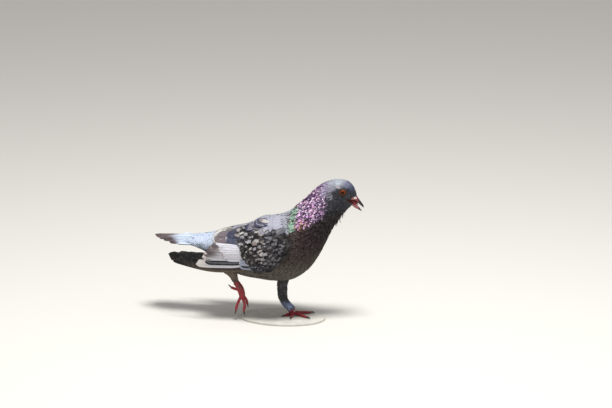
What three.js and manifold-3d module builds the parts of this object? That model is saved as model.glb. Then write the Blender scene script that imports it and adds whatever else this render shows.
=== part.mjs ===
// A feral pigeon, life-size, as a still museum model on a thin base: it walks on its left foot with the right
// foot lifted, the neck stretched forward, the bill open and the wings let down beside the tail.
// Millimetres, +Z up. The bird faces +X and its left side is +Y, with y = 0 as its plane of symmetry.
// The row's origin is the centre of the display base's underside.
import * as THREE from "three";
import { mergeVertices } from "three/addons/utils/BufferGeometryUtils.js";
import Module from "manifold-3d";

const wasm = await Module();
wasm.setup();

// ---------- driving dimensions ----------
const GAP = 0.3; // clear space between neighbouring pieces
const BASE = { long: 118, wide: 86, thick: 3, bevel: 0.6, ahead: -12 }; // ahead: its centre, from the standing foot
const STANDING_FOOT = { x: 0, y: 10 }; // where the left foot's joint stands
const EYE = { x: 74.4, y: 9.7, z: 181.4, radius: 5.2 };
const TAIL = {
  root: -112,
  tip: -192,
  corner: 29, // how much shorter the outermost feathers are
  rootHalf: 19,
  endHalf: 24.5,
  rootHeight: 107.5,
  tipHeight: 104.5,
  arch: 6, // how much lower its sides are than its middle
  feathers: 12,
};
const WING = {
  reach: 45, // how far its blade stands out from the plane of symmetry
  tipReach: 38, // and how far out its tip is
  tip: -163.5, // the longest primary's tip
  shoulder: 7.2, // depth of each layer over the trunk
  secondaries: 5.8,
  primaries: 3.4,
};

const V3 = (x, y, z) => new THREE.Vector3(x, y, z);
const mix = THREE.MathUtils.lerp;
const smooth = THREE.MathUtils.smoothstep;
const rad = THREE.MathUtils.degToRad;

// ---------- materials ----------
const paint = (color, roughness = 0.8, metalness = 0) => new THREE.MeshStandardMaterial({ color, roughness, metalness });
const PAINT = {
  head: paint(0x3f434c),
  neck: paint(0x5b4a63, 0.5),
  body: paint(0x55504c),
  rump: paint(0xb9bec6),
  tail: paint(0x9aa4b0),
  coverts: paint(0x3c3a3c),
  secondaries: paint(0xb4b2b4),
  primaries: paint(0x3f3d3e),
  leg: paint(0x4c4a4a),
  toe: paint(0xa83238, 0.6),
  claw: paint(0x2b2725, 0.4),
  bill: paint(0x3a3332, 0.45),
  cere: paint(0xd9d2cc, 0.7),
  mouth: paint(0xb0524e, 0.4),
  eye: paint(0xb8481c, 0.1),
  base: paint(0xb9b5ac, 0.9),
};

// ---------- shaping helpers ----------

// One closed surface from a mapped primitive: its seams are merged and its faces turned outwards.
function closed(geometry) {
  geometry.deleteAttribute("normal");
  geometry.deleteAttribute("uv");
  const merged = mergeVertices(geometry, 1e-3);
  const p = merged.attributes.position;
  const index = merged.index.array;
  const kept = [];
  let volume = 0;
  const [a, b, c] = [V3(), V3(), V3()];
  for (let i = 0; i < index.length; i += 3) {
    const [ia, ib, ic] = [index[i], index[i + 1], index[i + 2]];
    if (ia === ib || ib === ic || ic === ia) continue; // a pole's empty triangle
    kept.push(ia, ib, ic);
    volume += a.fromBufferAttribute(p, ia).dot(b.fromBufferAttribute(p, ib).cross(c.fromBufferAttribute(p, ic)));
  }
  if (volume < 0) kept.reverse();
  merged.setIndex(kept);
  return merged;
}

// A sphere's grid laid over a form: at(v, angle) gives the ring at v, from 0 to 1, and both ends are capped.
function wrapped(around, rings, at) {
  const g = new THREE.SphereGeometry(1, around, rings + 1);
  const { position, uv } = g.attributes;
  for (let i = 0; i < position.count; i++) {
    const row = Math.round((1 - uv.getY(i)) * (rings + 1));
    const v = (row - 1) / (rings - 1);
    const angle = uv.getX(i) * 2 * Math.PI;
    const pole = row === 0 || row === rings + 1;
    const p = pole ? at(row === 0 ? 0 : 1, 0).lerp(at(row === 0 ? 0 : 1, Math.PI), 0.5) : at(v, angle);
    position.setXYZ(i, p.x, p.y, p.z);
  }
  return closed(g);
}

// A box's grid laid over a slab: at(s, r, w) with s and r across its face and w from its inner to its outer side.
function slab(along, across, at) {
  const g = new THREE.BoxGeometry(1, 1, 1, along, across, 1);
  const { position } = g.attributes;
  for (let i = 0; i < position.count; i++) {
    const p = at(position.getX(i) + 0.5, position.getY(i) + 0.5, position.getZ(i) + 0.5);
    position.setXYZ(i, p.x, p.y, p.z);
  }
  return closed(g);
}

function solid(geometry) {
  return new wasm.Manifold(
    new wasm.Mesh({
      numProp: 3,
      vertProperties: Float32Array.from(geometry.attributes.position.array),
      triVerts: Uint32Array.from(geometry.index.array),
    }),
  );
}

function geometryOf(made) {
  const mesh = made.getMesh();
  const g = new THREE.BufferGeometry();
  g.setAttribute("position", new THREE.BufferAttribute(mesh.vertProperties, mesh.numProp));
  g.setIndex(new THREE.BufferAttribute(mesh.triVerts, 1));
  return g;
}

// The same surface moved out by a clear gap, to cut a neighbour with.
function grown(geometry, by = 1.3 * GAP) {
  const g = geometry.clone();
  g.computeVertexNormals();
  const { position, normal } = g.attributes;
  for (let i = 0; i < position.count; i++) {
    const n = V3().fromBufferAttribute(normal, i).multiplyScalar(by);
    position.setXYZ(i, position.getX(i) + n.x, position.getY(i) + n.y, position.getZ(i) + n.z);
  }
  return g;
}

// The first shape with the others taken out of it. A crumb that a cut leaves loose is dropped.
function cut(geometry, ...cutters) {
  const left = cutters.reduce((rest, cutter) => rest.subtract(solid(cutter)), solid(geometry));
  const bodies = left.decompose().sort((a, b) => b.volume() - a.volume());
  return geometryOf(bodies[0]);
}

const bird = new THREE.Group();

function place(name, geometry, material, group = bird) {
  const mesh = new THREE.Mesh(geometry, material);
  mesh.name = name;
  group.add(mesh);
  return mesh;
}

// ---------- forms told by a back line, a belly line and a width ----------

// Stations from end to end: the point on the top line, the point on the bottom line, and the half width.
class Profile {
  constructor(stations, fullness = 2, sag = 0) {
    this.fullness = fullness;
    this.sag = sag;
    const curve = (pick) => new THREE.CatmullRomCurve3(stations.map(pick), false, "centripetal");
    this.curves = {
      top: curve((s) => V3(s.top[0], 0, s.top[1])),
      low: curve((s) => V3(s.low[0], 0, s.low[1])),
      half: curve((s, i) => V3(s.half, i * 10, 0)),
    };
    this.names = stations.map((s) => s.name);
  }

  // The share of the form's length at which a named station lies.
  share(name) {
    return this.names.indexOf(name) / (this.names.length - 1);
  }

  // A point of the surface: angle 0 is the top line, a quarter turn is the left side. grown moves it outwards.
  point(t, angle, grown = 0) {
    const top = this.curves.top.getPoint(t);
    const low = this.curves.low.getPoint(t);
    const half = this.curves.half.getPoint(t).x + grown;
    const arm = top.clone().sub(low).multiplyScalar(0.5);
    arm.setLength(arm.length() + grown);
    const soft = (v) => Math.sign(v) * Math.abs(v) ** (2 / this.fullness);
    const c = Math.cos(angle);
    const wide = soft(Math.sin(angle)) * (1 - this.sag * c);
    return top.add(low).multiplyScalar(0.5).addScaledVector(arm, soft(c)).add(V3(0, half * wide, 0));
  }

  form(from, to, around, rings, grown = 0) {
    return wrapped(around, rings, (v, angle) => this.point(mix(from, to, v), angle, grown));
  }
}

// ---------- trunk, neck and head ----------
const body = new Profile(
  [
    { name: "covert tips", top: [-142, 109.2], low: [-138, 102.4], half: 18 },
    { name: "tail root", top: [-124, 112.2], low: [-121, 94.5], half: 21 },
    { name: "vent", top: [-110, 115.4], low: [-108, 81], half: 25.5 },
    { name: "rump", top: [-97, 119.6], low: [-96, 69], half: 30 },
    { name: "loin", top: [-80, 123.6], low: [-82, 60.5], half: 34.5 },
    { name: "saddle", top: [-61, 129], low: [-64, 55.2], half: 37.5 },
    { name: "back", top: [-41, 137.8], low: [-44, 52.4], half: 39 },
    { name: "mantle", top: [-24, 142.8], low: [-21.5, 50.6], half: 39.5 },
    { name: "shoulders", top: [-10.3, 147.2], low: [2.3, 53.8], half: 39 },
    { name: "breast", top: [0, 152], low: [23.4, 67.6], half: 37 },
    { name: "crop", top: [9.3, 158.8], low: [37.5, 87], half: 33.5 },
    { name: "neck base", top: [17.8, 166], low: [47.3, 105.8], half: 28.5 },
    { name: "mid neck", top: [25.5, 173.4], low: [55.1, 122.4], half: 24 },
    { name: "upper neck", top: [32.6, 180.8], low: [62.1, 134.8], half: 20.4 },
    { name: "nape", top: [39.6, 187], low: [69.1, 145], half: 17.5 },
    { name: "poll", top: [48.7, 192.3], low: [75.2, 152.2], half: 15.6 },
    { name: "crown", top: [60, 195.7], low: [80, 156.8], half: 14.4 },
    { name: "brow", top: [69.8, 196.4], low: [83.2, 159.4], half: 13.3 },
    { name: "forehead", top: [79.7, 193.8], low: [86, 162.2], half: 11.4 },
    { name: "lore", top: [86.4, 188.2], low: [88.2, 165.4], half: 8.6 },
    { name: "bill root", top: [90.3, 181], low: [90.2, 168.6], half: 5.4 },
    { name: "bill seat", top: [91.6, 177], low: [91.2, 171.8], half: 2.6 },
  ],
  2.04,
  0.06,
);
const AROUND = 20;
const seam = 0.0004; // half a seam between two lengths of the body, as a share of its length
const RUMP_END = body.share("loin");
const TRUNK_END = body.share("crop");
const NECK_END = body.share("nape") + 0.01;

// ---------- bill, mouth and eyes ----------
const upperBill = new Profile([
  { name: "root", top: [87, 179], low: [81.5, 171], half: 5 },
  { name: "cere", top: [92.4, 173.9], low: [87.6, 168.7], half: 4.1 },
  { name: "middle", top: [96.2, 169.9], low: [92, 165.6], half: 3.2 },
  { name: "bend", top: [99.6, 165.2], low: [96, 162.3], half: 2.4 },
  { name: "hook", top: [101.4, 161.2], low: [99.1, 160.1], half: 1.4 },
  { name: "tip", top: [101.5, 158.2], low: [101, 158.1], half: 0.4 },
]);
const lowerBill = new Profile([
  { name: "root", top: [80, 169.4], low: [79, 161.6], half: 5 },
  { name: "gape", top: [85.4, 165.7], low: [84.4, 160.9], half: 4.2 },
  { name: "middle", top: [90.4, 161.8], low: [89, 157.6], half: 3.1 },
  { name: "bevel", top: [94.8, 158.3], low: [93.8, 155.3], half: 2.1 },
  { name: "tip", top: [98.6, 153.9], low: [98.4, 153.1], half: 0.5 },
]);
const mouth = new Profile([
  { name: "corner", top: [78.6, 172.4], low: [78.4, 171.6], half: 16 },
  { name: "gape", top: [84.4, 170.6], low: [82.6, 167.6], half: 16 },
  { name: "front", top: [96, 166], low: [94, 160], half: 16 },
]);
const tongue = new Profile([
  { name: "root", top: [83, 169], low: [82.2, 167.9], half: 1.6 },
  { name: "middle", top: [88.2, 165.8], low: [87.4, 164.6], half: 1.9 },
  { name: "tip", top: [93.2, 161.9], low: [92.8, 161.2], half: 0.8 },
]);

// The cere: two swollen lobes side by side over the nostrils.
function cereForm(grown = 0) {
  const lobe = (side) => {
    const g = new THREE.SphereGeometry(1, 8, 6).scale(3.9 + grown, 2.3 + grown, 2.7 + grown);
    return solid(closed(g.rotateY(rad(47)).rotateX(side * rad(-12)).translate(91.2, side * 1.9, 172.9)));
  };
  return geometryOf(lobe(1).add(lobe(-1)));
}

function eyeBall(side, grown = 0) {
  return closed(new THREE.SphereGeometry(EYE.radius + grown, 14, 8).translate(EYE.x, side * EYE.y, EYE.z));
}

function buildHead() {
  const bills = (p, grown) => p.form(0, 1, 8, 7, grown);
  const whole = body.form(NECK_END + seam, 1, AROUND, 11);
  const cutters = [bills(upperBill, GAP), bills(lowerBill, GAP), cereForm(GAP), eyeBall(1, GAP), eyeBall(-1, GAP)];
  const head = cut(whole, mouth.form(0, 1, 6, 3), ...cutters);
  place("head", head, PAINT.head);
  place("bill_upper", cut(bills(upperBill, 0), cereForm(GAP)), PAINT.bill);
  place("bill_lower", bills(lowerBill, 0), PAINT.bill);
  place("cere", cereForm(), PAINT.cere);
  place("tongue", cut(tongue.form(0, 1, 8, 5), bills(lowerBill, GAP), bills(upperBill, GAP)), PAINT.mouth);
  place("eye_left", eyeBall(1), PAINT.eye);
  place("eye_right", eyeBall(-1), PAINT.eye);
}

// ---------- tail ----------

// A fan of feathers in one piece: q is across it, from -1 to 1, and each feather's end is a small arc.
function tailForm() {
  return slab(6, TAIL.feathers * 2, (s, r, w) => {
    const q = 2 * r - 1;
    const arc = Math.abs(Math.sin(r * TAIL.feathers * Math.PI));
    const end = TAIL.tip + TAIL.corner * Math.abs(q) ** 1.8 + 2.2 * (1 - arc);
    const half = mix(TAIL.rootHalf, TAIL.endHalf, s ** 0.8);
    const depth = mix(4.6, 1.2, s) * (1 - 0.35 * q * q);
    const z = mix(TAIL.rootHeight, TAIL.tipHeight, s) - TAIL.arch * q * q + (w - 0.5) * depth;
    return V3(mix(TAIL.root, end, s), -q * half, z);
  });
}

function buildBody() {
  const rump = body.form(0, RUMP_END - seam, AROUND, 9);
  place("rump", rump, PAINT.rump);
  place("trunk", body.form(RUMP_END + seam, TRUNK_END - seam, AROUND, 12), PAINT.body);
  place("neck", body.form(TRUNK_END + seam, NECK_END - seam, AROUND, 8), PAINT.neck);
  place("tail", cut(tailForm(), body.form(0, RUMP_END, AROUND, 9, GAP)), PAINT.tail);
}

// ---------- wings ----------

// How far the trunk reaches from the wings' axis at x, at an angle from straight up, on the left side.
const trunkMesh = new THREE.Mesh(body.form(0, 1, 40, 60), new THREE.MeshBasicMaterial({ side: THREE.DoubleSide }));
const axisHeight = (x) => mix(88, 96, smooth(x, -160, -40));
function trunkReach(x, angle) {
  const from = V3(x, 0, axisHeight(x));
  const out = V3(0, Math.sin(angle), Math.cos(angle));
  const hits = new THREE.Raycaster(from, out).intersectObject(trunkMesh);
  return hits.length ? hits[hits.length - 1].distance : 0;
}

// The greater of two lengths, with the step between them rounded.
function softMax(a, b, round = 3) {
  const h = Math.max(round - Math.abs(a - b), 0) / round;
  return Math.max(a, b) + (h * h * round) / 4;
}

// The outside of a layer of the left wing: it lies on the trunk in front and stands out as a blade behind.
function wingPoint(x, angle, depth) {
  const onTrunk = trunkReach(x, angle) + depth;
  const out = mix(WING.reach, WING.tipReach, smooth(-x, 100, -WING.tip));
  const flare = mix(31, out, smooth(angle, rad(30), rad(88)));
  const blade = (flare - WING.primaries + Math.min(depth, 5)) * smooth(-x, 40, 92);
  const reach = softMax(onTrunk, blade);
  return V3(x, reach * Math.sin(angle), axisHeight(x) + reach * Math.cos(angle));
}

// An angle for each height of the wing's edge, measured where the blade or trunk is about one reach wide.
const angleAt = (x, z, reach) => Math.acos(THREE.MathUtils.clamp((z - axisHeight(x)) / reach, -1, 1));

// A curve read as a function: pairs of a share, from 0 to 1, and a value, joined smoothly.
function along(...pairs) {
  const curve = new THREE.CatmullRomCurve3(pairs.map(([share, value]) => V3(share * 100, value, 0)));
  const points = curve.getPoints(60);
  return (share) => {
    const i = points.findIndex((p) => p.x >= share * 100);
    if (i <= 0) return points[i === 0 ? 0 : points.length - 1].y;
    const [a, b] = [points[i - 1], points[i]];
    return mix(a.y, b.y, (share * 100 - a.x) / (b.x - a.x || 1));
  };
}

// Edges of the wing, seen from the side: r runs from its upper to its lower edge.
const frontEdge = along([0, -14], [0.25, 1], [0.5, 10], [0.75, 2], [1, -22]);
const covertEdge = along([0, -88], [0.25, -77], [0.5, -72], [0.75, -55], [1, -36]);
const rearEdge = along([0, -104], [0.3, -100], [0.6, -98], [0.8, -105], [1, -100]);
const upperAngle = along([0, 34], [0.2, 27], [0.6, 22], [1, 29]);
const lowerAngle = along([0, 117], [0.3, 118], [0.7, 114], [1, 112]);
const FEATHER_SCALLOPS = 9;
const scallop = (r) => 2.5 * Math.abs(Math.sin(r * FEATHER_SCALLOPS * Math.PI));

// A layer of the left wing between two edges. Its inner side is sunk into the trunk, which then cuts it.
function wingLayer(from, to, depth, sunk, columns, rows) {
  return slab(columns, rows, (s, r, w) => {
    const x = mix(from(r), to(r), s);
    const share = (12 - x) / 112;
    const angle = rad(mix(upperAngle(share), lowerAngle(share), r));
    const upper = mix(0.44, 1, smooth(r, 0, 0.4)); // the edges are thinner
    const lower = mix(0.75, 1, smooth(1 - r, 0, 0.3));
    const front = mix(0.44, 1, smooth(frontEdge(r) - x, 0, 22));
    const outer = wingPoint(x, angle, depth * Math.min(upper, lower, front));
    if (w > 0.5) return outer;
    const inwards = V3(0, -Math.sin(angle), -Math.cos(angle));
    return outer.addScaledVector(inwards, mix(sunk, 3, smooth(-x, 70, 104)));
  });
}

// The hand: the primaries' blade, from under the secondaries to the tip. Its lower edge is the leading edge.
const bladeTop = along([0, 84], [0.35, 88], [0.58, 98.5], [0.75, 96.4], [0.9, 93.6], [1, 90]);
const bladeLow = along([0, 77], [0.12, 70], [0.26, 67.6], [0.4, 68.8], [0.52, 71.2], [0.67, 74.4], [0.81, 77.4], [0.96, 83.4], [1, 88.4]);
const HAND_START = -42;
function handForm() {
  return slab(12, 3, (s, r, w) => {
    const x = mix(HAND_START, WING.tip, s);
    const step = s > 0.55 && s < 0.97 ? 1.1 * ((s * 14) % 1) : 0; // the tips of the shorter primaries
    const z = mix(bladeTop(s) - step, bladeLow(s), r);
    const angle = angleAt(x, z, WING.reach);
    const depth = mix(1.2, WING.primaries, smooth(-x, 88, 108)); // thinner where the secondaries lie over it
    const outer = wingPoint(x, angle, depth);
    if (w > 0.5) return outer;
    const inwards = V3(0, -Math.sin(angle), -Math.cos(angle));
    return outer.addScaledVector(inwards, mix(9, 1.5, smooth(-x, 60, 150)));
  });
}

// The left wing's three layers, from the covert feathers down to the primaries, each cut clear of those over it.
function wingLayers() {
  const trunk = body.form(0, 1, AROUND, 36, GAP);
  const ends = (r) => covertEdge(r) - 0.6 * scallop(r);
  const shoulder = cut(wingLayer(frontEdge, ends, WING.shoulder, 10, 8, 8), trunk);
  const under = wingLayer((r) => covertEdge(r) + 6, (r) => rearEdge(r) - scallop(r), WING.secondaries, 9, 4, 18);
  const secondaries = cut(under, grown(shoulder), trunk);
  const primaries = cut(handForm(), grown(shoulder), grown(secondaries), trunk);
  return { shoulder, secondaries, primaries };
}

function buildWings() {
  const layers = wingLayers();
  const paints = { shoulder: PAINT.coverts, secondaries: PAINT.secondaries, primaries: PAINT.primaries };
  for (const [layer, geometry] of Object.entries(layers)) {
    place(`wing_left_${layer}`, geometry, paints[layer]);
    place(`wing_right_${layer}`, closed(geometry.clone().scale(1, -1, 1)), paints[layer]);
  }
}

// ---------- legs ----------

// A limb along a smooth path. Each knot gives its place, its half width across the path, and its half depth.
class Limb {
  constructor(...knots) {
    this.path = new THREE.CatmullRomCurve3(knots.map((k) => V3(...k.at)), false, "centripetal");
    this.size = new THREE.CatmullRomCurve3(knots.map((k, i) => V3(k.wide, k.deep ?? k.wide, i * 5)), false, "centripetal");
  }

  form(from, to, around, rings, grown = 0, floor = -Infinity) {
    return wrapped(around, rings, (v, angle) => {
      const t = mix(from, to, v);
      const ahead = this.path.getTangent(t);
      const across = V3(0, 1, 0).cross(ahead).normalize();
      const side = ahead.clone().cross(across);
      const size = this.size.getPoint(t);
      const p = this.path.getPoint(t);
      p.addScaledVector(side, (size.x + grown) * Math.sin(angle));
      p.addScaledVector(across, (size.y + grown) * Math.cos(angle));
      p.z = Math.max(p.z, floor);
      return p;
    });
  }
}

const F = STANDING_FOOT;
const legs = {
  left: new Limb(
    { at: [F.x - 20, F.y + 4, 62], wide: 11, deep: 12 },
    { at: [F.x - 15.4, F.y + 2, 46], wide: 7.2, deep: 7.6 },
    { at: [F.x - 15.2, F.y + 1, 34], wide: 6.3, deep: 6.8 },
    { at: [F.x - 14.6, F.y + 0.6, 24], wide: 5.2, deep: 5.8 },
    { at: [F.x - 12.2, F.y + 0.3, 17.4], wide: 3.6, deep: 4.1 },
    { at: [F.x - 6.2, F.y, 11.4], wide: 3.4, deep: 4 },
    { at: [F.x - 0.6, F.y, 4.6], wide: 4.4, deep: 4.6 },
  ),
  right: new Limb(
    { at: [-88, -17, 78], wide: 10, deep: 13 },
    { at: [-82, -18.5, 68], wide: 7.6, deep: 10 },
    { at: [-76.9, -20, 60], wide: 5, deep: 6 },
    { at: [-73, -20.3, 50.4], wide: 3.3, deep: 3.8 },
    { at: [-68, -20.6, 43], wide: 3.4, deep: 4.4 },
    { at: [-65, -20.8, 36], wide: 3.6, deep: 4.4 },
    { at: [-63.8, -21, 30], wide: 3.8, deep: 3.6 },
  ),
};
const ANKLE = { left: 4 / 6, right: 3 / 6 }; // the knot where the thigh ends and the tarsus starts, on each limb

// A toe of the standing foot: it lies flat along the ground, with a pad under each joint, to its claw.
function standingToe(root, turn, length, claw) {
  const heading = rad(turn);
  const at = (out, z) => [F.x + 0.6 + out * Math.cos(heading), F.y + out * Math.sin(heading), z];
  const toe = new Limb(
    { at: at(root, 3.3), wide: 1.9, deep: 2 },
    { at: at(mix(root, length, 0.33), 2.1), wide: 1.8 },
    { at: at(mix(root, length, 0.5), 2.4), wide: 1.5 },
    { at: at(mix(root, length, 0.72), 1.8), wide: 1.6 },
    { at: at(length, 1.8), wide: 1.1 },
  );
  const nail = new Limb(
    { at: at(length + 0.5, 1.9), wide: 0.95, deep: 1.1 },
    { at: at(length + claw * 0.55, 2), wide: 0.65, deep: 0.8 },
    { at: at(length + claw, 0.8), wide: 0.15, deep: 0.15 },
  );
  return { toe, nail };
}

// A toe of the lifted foot hangs from its root through a middle joint to its end, and the claw goes on from there.
function hangingToe(root, joint, end, clawTip) {
  const [a, b, c, d] = [root, joint, end, clawTip].map((p) => V3(...p));
  const step = d.clone().sub(c).setLength(0.5);
  const knuckle = c.clone().add(d).multiplyScalar(0.5).add(V3(0.5, 0, 0.3));
  const toe = new Limb(
    { at: a.toArray(), wide: 1.8 },
    { at: a.clone().lerp(b, 0.55).toArray(), wide: 1.7 },
    { at: b.toArray(), wide: 1.45 },
    { at: b.clone().lerp(c, 0.5).toArray(), wide: 1.6 },
    { at: c.toArray(), wide: 1.1 },
  );
  const nail = new Limb(
    { at: c.clone().add(step).toArray(), wide: 0.95, deep: 1.1 },
    { at: knuckle.toArray(), wide: 0.65, deep: 0.8 },
    { at: d.toArray(), wide: 0.15, deep: 0.15 },
  );
  return { toe, nail };
}

// Toe 1 points back, 2 is the inner one, 3 the middle one and 4 the outer one.
const toes = {
  left: [
    standingToe(3.2, -124, 16.5, 6),
    standingToe(3.6, -86, 20, 6),
    standingToe(3, -34, 27, 7),
    standingToe(3.6, 26, 24, 6),
  ],
  right: [
    hangingToe([-67.6, -19.8, 38.6], [-75.4, -18.6, 39.6], [-80.4, -18.2, 41.2], [-84.4, -18, 44.6]),
    hangingToe([-62.4, -18.8, 30.2], [-58.8, -16, 23.6], [-58, -15, 18], [-57.6, -14.6, 12.8]),
    hangingToe([-63.6, -21.4, 29], [-60, -22, 19], [-61.4, -22.4, 9.4], [-60.6, -22.6, 4]),
    hangingToe([-65.2, -23.4, 30.2], [-69.6, -26.2, 19.6], [-71.4, -27, 11.6], [-73, -27.4, 5.8]),
  ],
};
const TOE_ORDER = [2, 3, 1, 0]; // the middle toe is whole, and each of the others makes room for those before it

function buildLegs() {
  const trunk = body.form(0, 1, AROUND, 44, GAP);
  for (const side of ["left", "right"]) {
    const limb = legs[side];
    const wing = bird.children.filter((m) => m.name.startsWith(`wing_${side}`)).map((m) => grown(m.geometry));
    place(`thigh_${side}`, cut(limb.form(0, ANKLE[side] - 0.006, 12, 8), trunk, ...wing), PAINT.leg);
    const flesh = [];
    for (const i of TOE_ORDER) {
      const { toe, nail } = toes[side][i];
      const whole = cut(toe.form(0, 1, 8, 6, 0, GAP), ...flesh);
      flesh.push(grown(whole));
      place(`toe_${side}_${i + 1}`, whole, PAINT.toe);
      place(`claw_${side}_${i + 1}`, cut(nail.form(0, 1, 6, 3, 0, GAP), grown(whole)), PAINT.claw);
    }
    place(`tarsus_${side}`, cut(limb.form(ANKLE[side] + 0.006, 1, 12, 8, 0, GAP), ...flesh), PAINT.leg);
  }
}

// ---------- display base ----------
function buildBase(root) {
  const rim = new THREE.Shape().absellipse(0, 0, BASE.long / 2 - BASE.bevel, BASE.wide / 2 - BASE.bevel, 0, 2 * Math.PI);
  const plate = new THREE.ExtrudeGeometry(rim, {
    depth: BASE.thick - 2 * BASE.bevel,
    curveSegments: 16,
    bevelThickness: BASE.bevel,
    bevelSize: BASE.bevel,
    bevelSegments: 1,
  });
  place("stand_base", closed(plate.translate(0, 0, BASE.bevel)), PAINT.base, root);
}

// ---------- assembly ----------
const pigeon = new THREE.Group();
bird.position.set(-BASE.ahead, 0, BASE.thick);
pigeon.add(bird);
buildHead();
buildBody();
buildWings();
buildLegs();
buildBase(pigeon);

export default pigeon;
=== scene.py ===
"""A life-size feral pigeon in mid-step: skin, a coat of solid vanes, flight feathers, bill, eyes and feet."""
import logging
import math
from dataclasses import dataclass, replace
from enum import Enum
from functools import cached_property, partial
from math import pi, radians
from typing import Callable

import bmesh
import bpy
import numpy as np
from bmesh.types import BMesh
from bpy.types import Material, Mesh, Node, NodeSocket, NodeTree, Object
from mathutils import Matrix, Vector, kdtree


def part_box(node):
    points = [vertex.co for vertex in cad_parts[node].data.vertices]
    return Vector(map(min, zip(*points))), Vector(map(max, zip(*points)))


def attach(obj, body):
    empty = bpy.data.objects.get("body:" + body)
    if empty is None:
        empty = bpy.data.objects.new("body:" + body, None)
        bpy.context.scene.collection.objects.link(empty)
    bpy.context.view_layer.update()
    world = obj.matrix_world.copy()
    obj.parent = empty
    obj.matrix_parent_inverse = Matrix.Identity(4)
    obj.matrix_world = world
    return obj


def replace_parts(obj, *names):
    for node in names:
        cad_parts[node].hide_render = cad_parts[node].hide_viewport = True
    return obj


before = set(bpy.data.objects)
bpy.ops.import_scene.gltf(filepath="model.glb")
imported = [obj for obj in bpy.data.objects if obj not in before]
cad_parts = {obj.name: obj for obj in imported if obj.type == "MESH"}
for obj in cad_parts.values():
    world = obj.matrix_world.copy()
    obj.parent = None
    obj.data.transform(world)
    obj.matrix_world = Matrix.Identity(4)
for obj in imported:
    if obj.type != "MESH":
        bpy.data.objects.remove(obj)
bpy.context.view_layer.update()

logging.basicConfig(level=logging.INFO, format="%(message)s")
LOG = logging.getLogger("pigeon")

MM = 0.001
FOOT_AHEAD = 12.0  # the standing foot's joint, ahead of the base's centre
FOOT_LEFT = 10.0  # and to the left of the middle line
PATCH = 0.003  # how much of the coat's map one feather takes
SIDES = ("left", "right")
TOES = (1, 2, 3, 4)
Array = np.ndarray
Rows = list[tuple[float, ...]]
Pair = tuple[float, float]
Curve = Callable[[Array], Array]
Places = tuple[Array, Array]


# ---------- numbers and colours ----------
def rgb(code: str) -> Array:
    """Turns six hexadecimal digits, a colour as written for a screen, into the linear one of shaders."""
    value = np.array([int(code[i : i + 2], 16) / 255 for i in (0, 2, 4)])
    return np.where(value <= 0.04045, value / 12.92, ((value + 0.055) / 1.055) ** 2.4)


def step(value: Array, low: float, high: float) -> Array:
    """Rises smoothly from 0 at low to 1 at high, or falls where low is the greater."""
    t = np.clip((value - low) / (high - low), 0, 1)
    return t * t * (3 - 2 * t)


def mix(a: Array, b: Array, t: Array) -> Array:
    """Goes from a to b as t goes from 0 to 1."""
    return a + (b - a) * t


def again(chance: Array, times: float) -> Array:
    """Makes one more even number from 0 to 1 out of a random one."""
    return (chance * times) % 1


def plain(code: str, count: int) -> Array:
    """Gives one written colour for each of many places."""
    return np.tile(rgb(code), (count, 1))


def choose(draw: Array, bounds: tuple[float, ...], codes: tuple[str, ...]) -> Array:
    """Chooses one of a few written colours for each random number, by the bounds between them."""
    return np.array([rgb(code) for code in codes])[np.searchsorted(bounds, draw)]


def over(colour: Array, *layers: tuple[str, Array]) -> Array:
    """Lays written colours over an array of colours, one after the other.

    Args:
        colour: The colours.
        layers: The written colour of each layer, and how strongly it covers each place.
    Returns:
        The covered colours.
    """
    for code, mask in layers:
        colour = colour + (rgb(code) - colour) * np.clip(mask, 0, 1)[:, None]
    return colour


def spot(x: Array, z: Array, centre: Pair, radii: Pair, turn: float = 0) -> Array:
    """Gives a soft oval mark seen from the side.

    Args:
        x: How far ahead each point is, in mm.
        z: How high each point is, in mm.
        centre: The middle of the mark.
        radii: Its half length and half height.
        turn: How far it is turned, in degrees.
    Returns:
        A mask, 1 in the middle and 0 outside.
    """
    c, s = math.cos(radians(turn)), math.sin(radians(turn))
    dx, dz = x - centre[0], z - centre[1]
    r = np.hypot((dx * c + dz * s) / radii[0], (dz * c - dx * s) / radii[1])
    return step(r, 1.25, 0.7)


def unit(v: Array) -> Array:
    """Makes each vector one long."""
    return v / np.maximum(np.linalg.norm(v, axis=-1, keepdims=True), 1e-9)


def dot(a: Array, b: Array) -> Array:
    """Multiplies vectors row by row."""
    return np.sum(a * b, axis=1)


def table(*pairs: Pair) -> Curve:
    """Makes a function that reads a value off a few pairs."""
    xs, ys = zip(*pairs)
    return partial(np.interp, xp=xs, fp=ys)


class Rail:
    """A smooth centripetal curve through knots, as the solids' own rails are."""

    def __init__(self, knots: Array) -> None:
        """Keeps the knots, with one more mirrored beyond each end."""
        k = np.asarray(knots, float)
        self.knots = np.vstack([2 * k[0] - k[1], k, 2 * k[-1] - k[-2]])
        self.count = len(k)

    def at(self, share: Array) -> Array:
        """Gives points of the curve.

        Args:
            share: Places along it, from 0 to 1.
        Returns:
            One row for each place.
        """
        u = np.clip(np.atleast_1d(share), 0, 1) * (self.count - 1)
        i = np.minimum(u.astype(int), self.count - 2)
        w = (u - i)[:, None]
        p = [self.knots[i + n] for n in range(4)]
        d0, d1, d2 = (np.sqrt(np.linalg.norm(b - a, axis=1))[:, None] for a, b in zip(p, p[1:]))
        t1 = ((p[1] - p[0]) / d0 - (p[2] - p[0]) / (d0 + d1) + (p[2] - p[1]) / d1) * d1
        t2 = ((p[2] - p[1]) / d1 - (p[3] - p[1]) / (d1 + d2) + (p[3] - p[2]) / d2) * d1
        c2 = -3 * p[1] + 3 * p[2] - 2 * t1 - t2
        c3 = 2 * p[1] - 2 * p[2] + t1 + t2
        return p[1] + t1 * w + c2 * w * w + c3 * w**3


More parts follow.
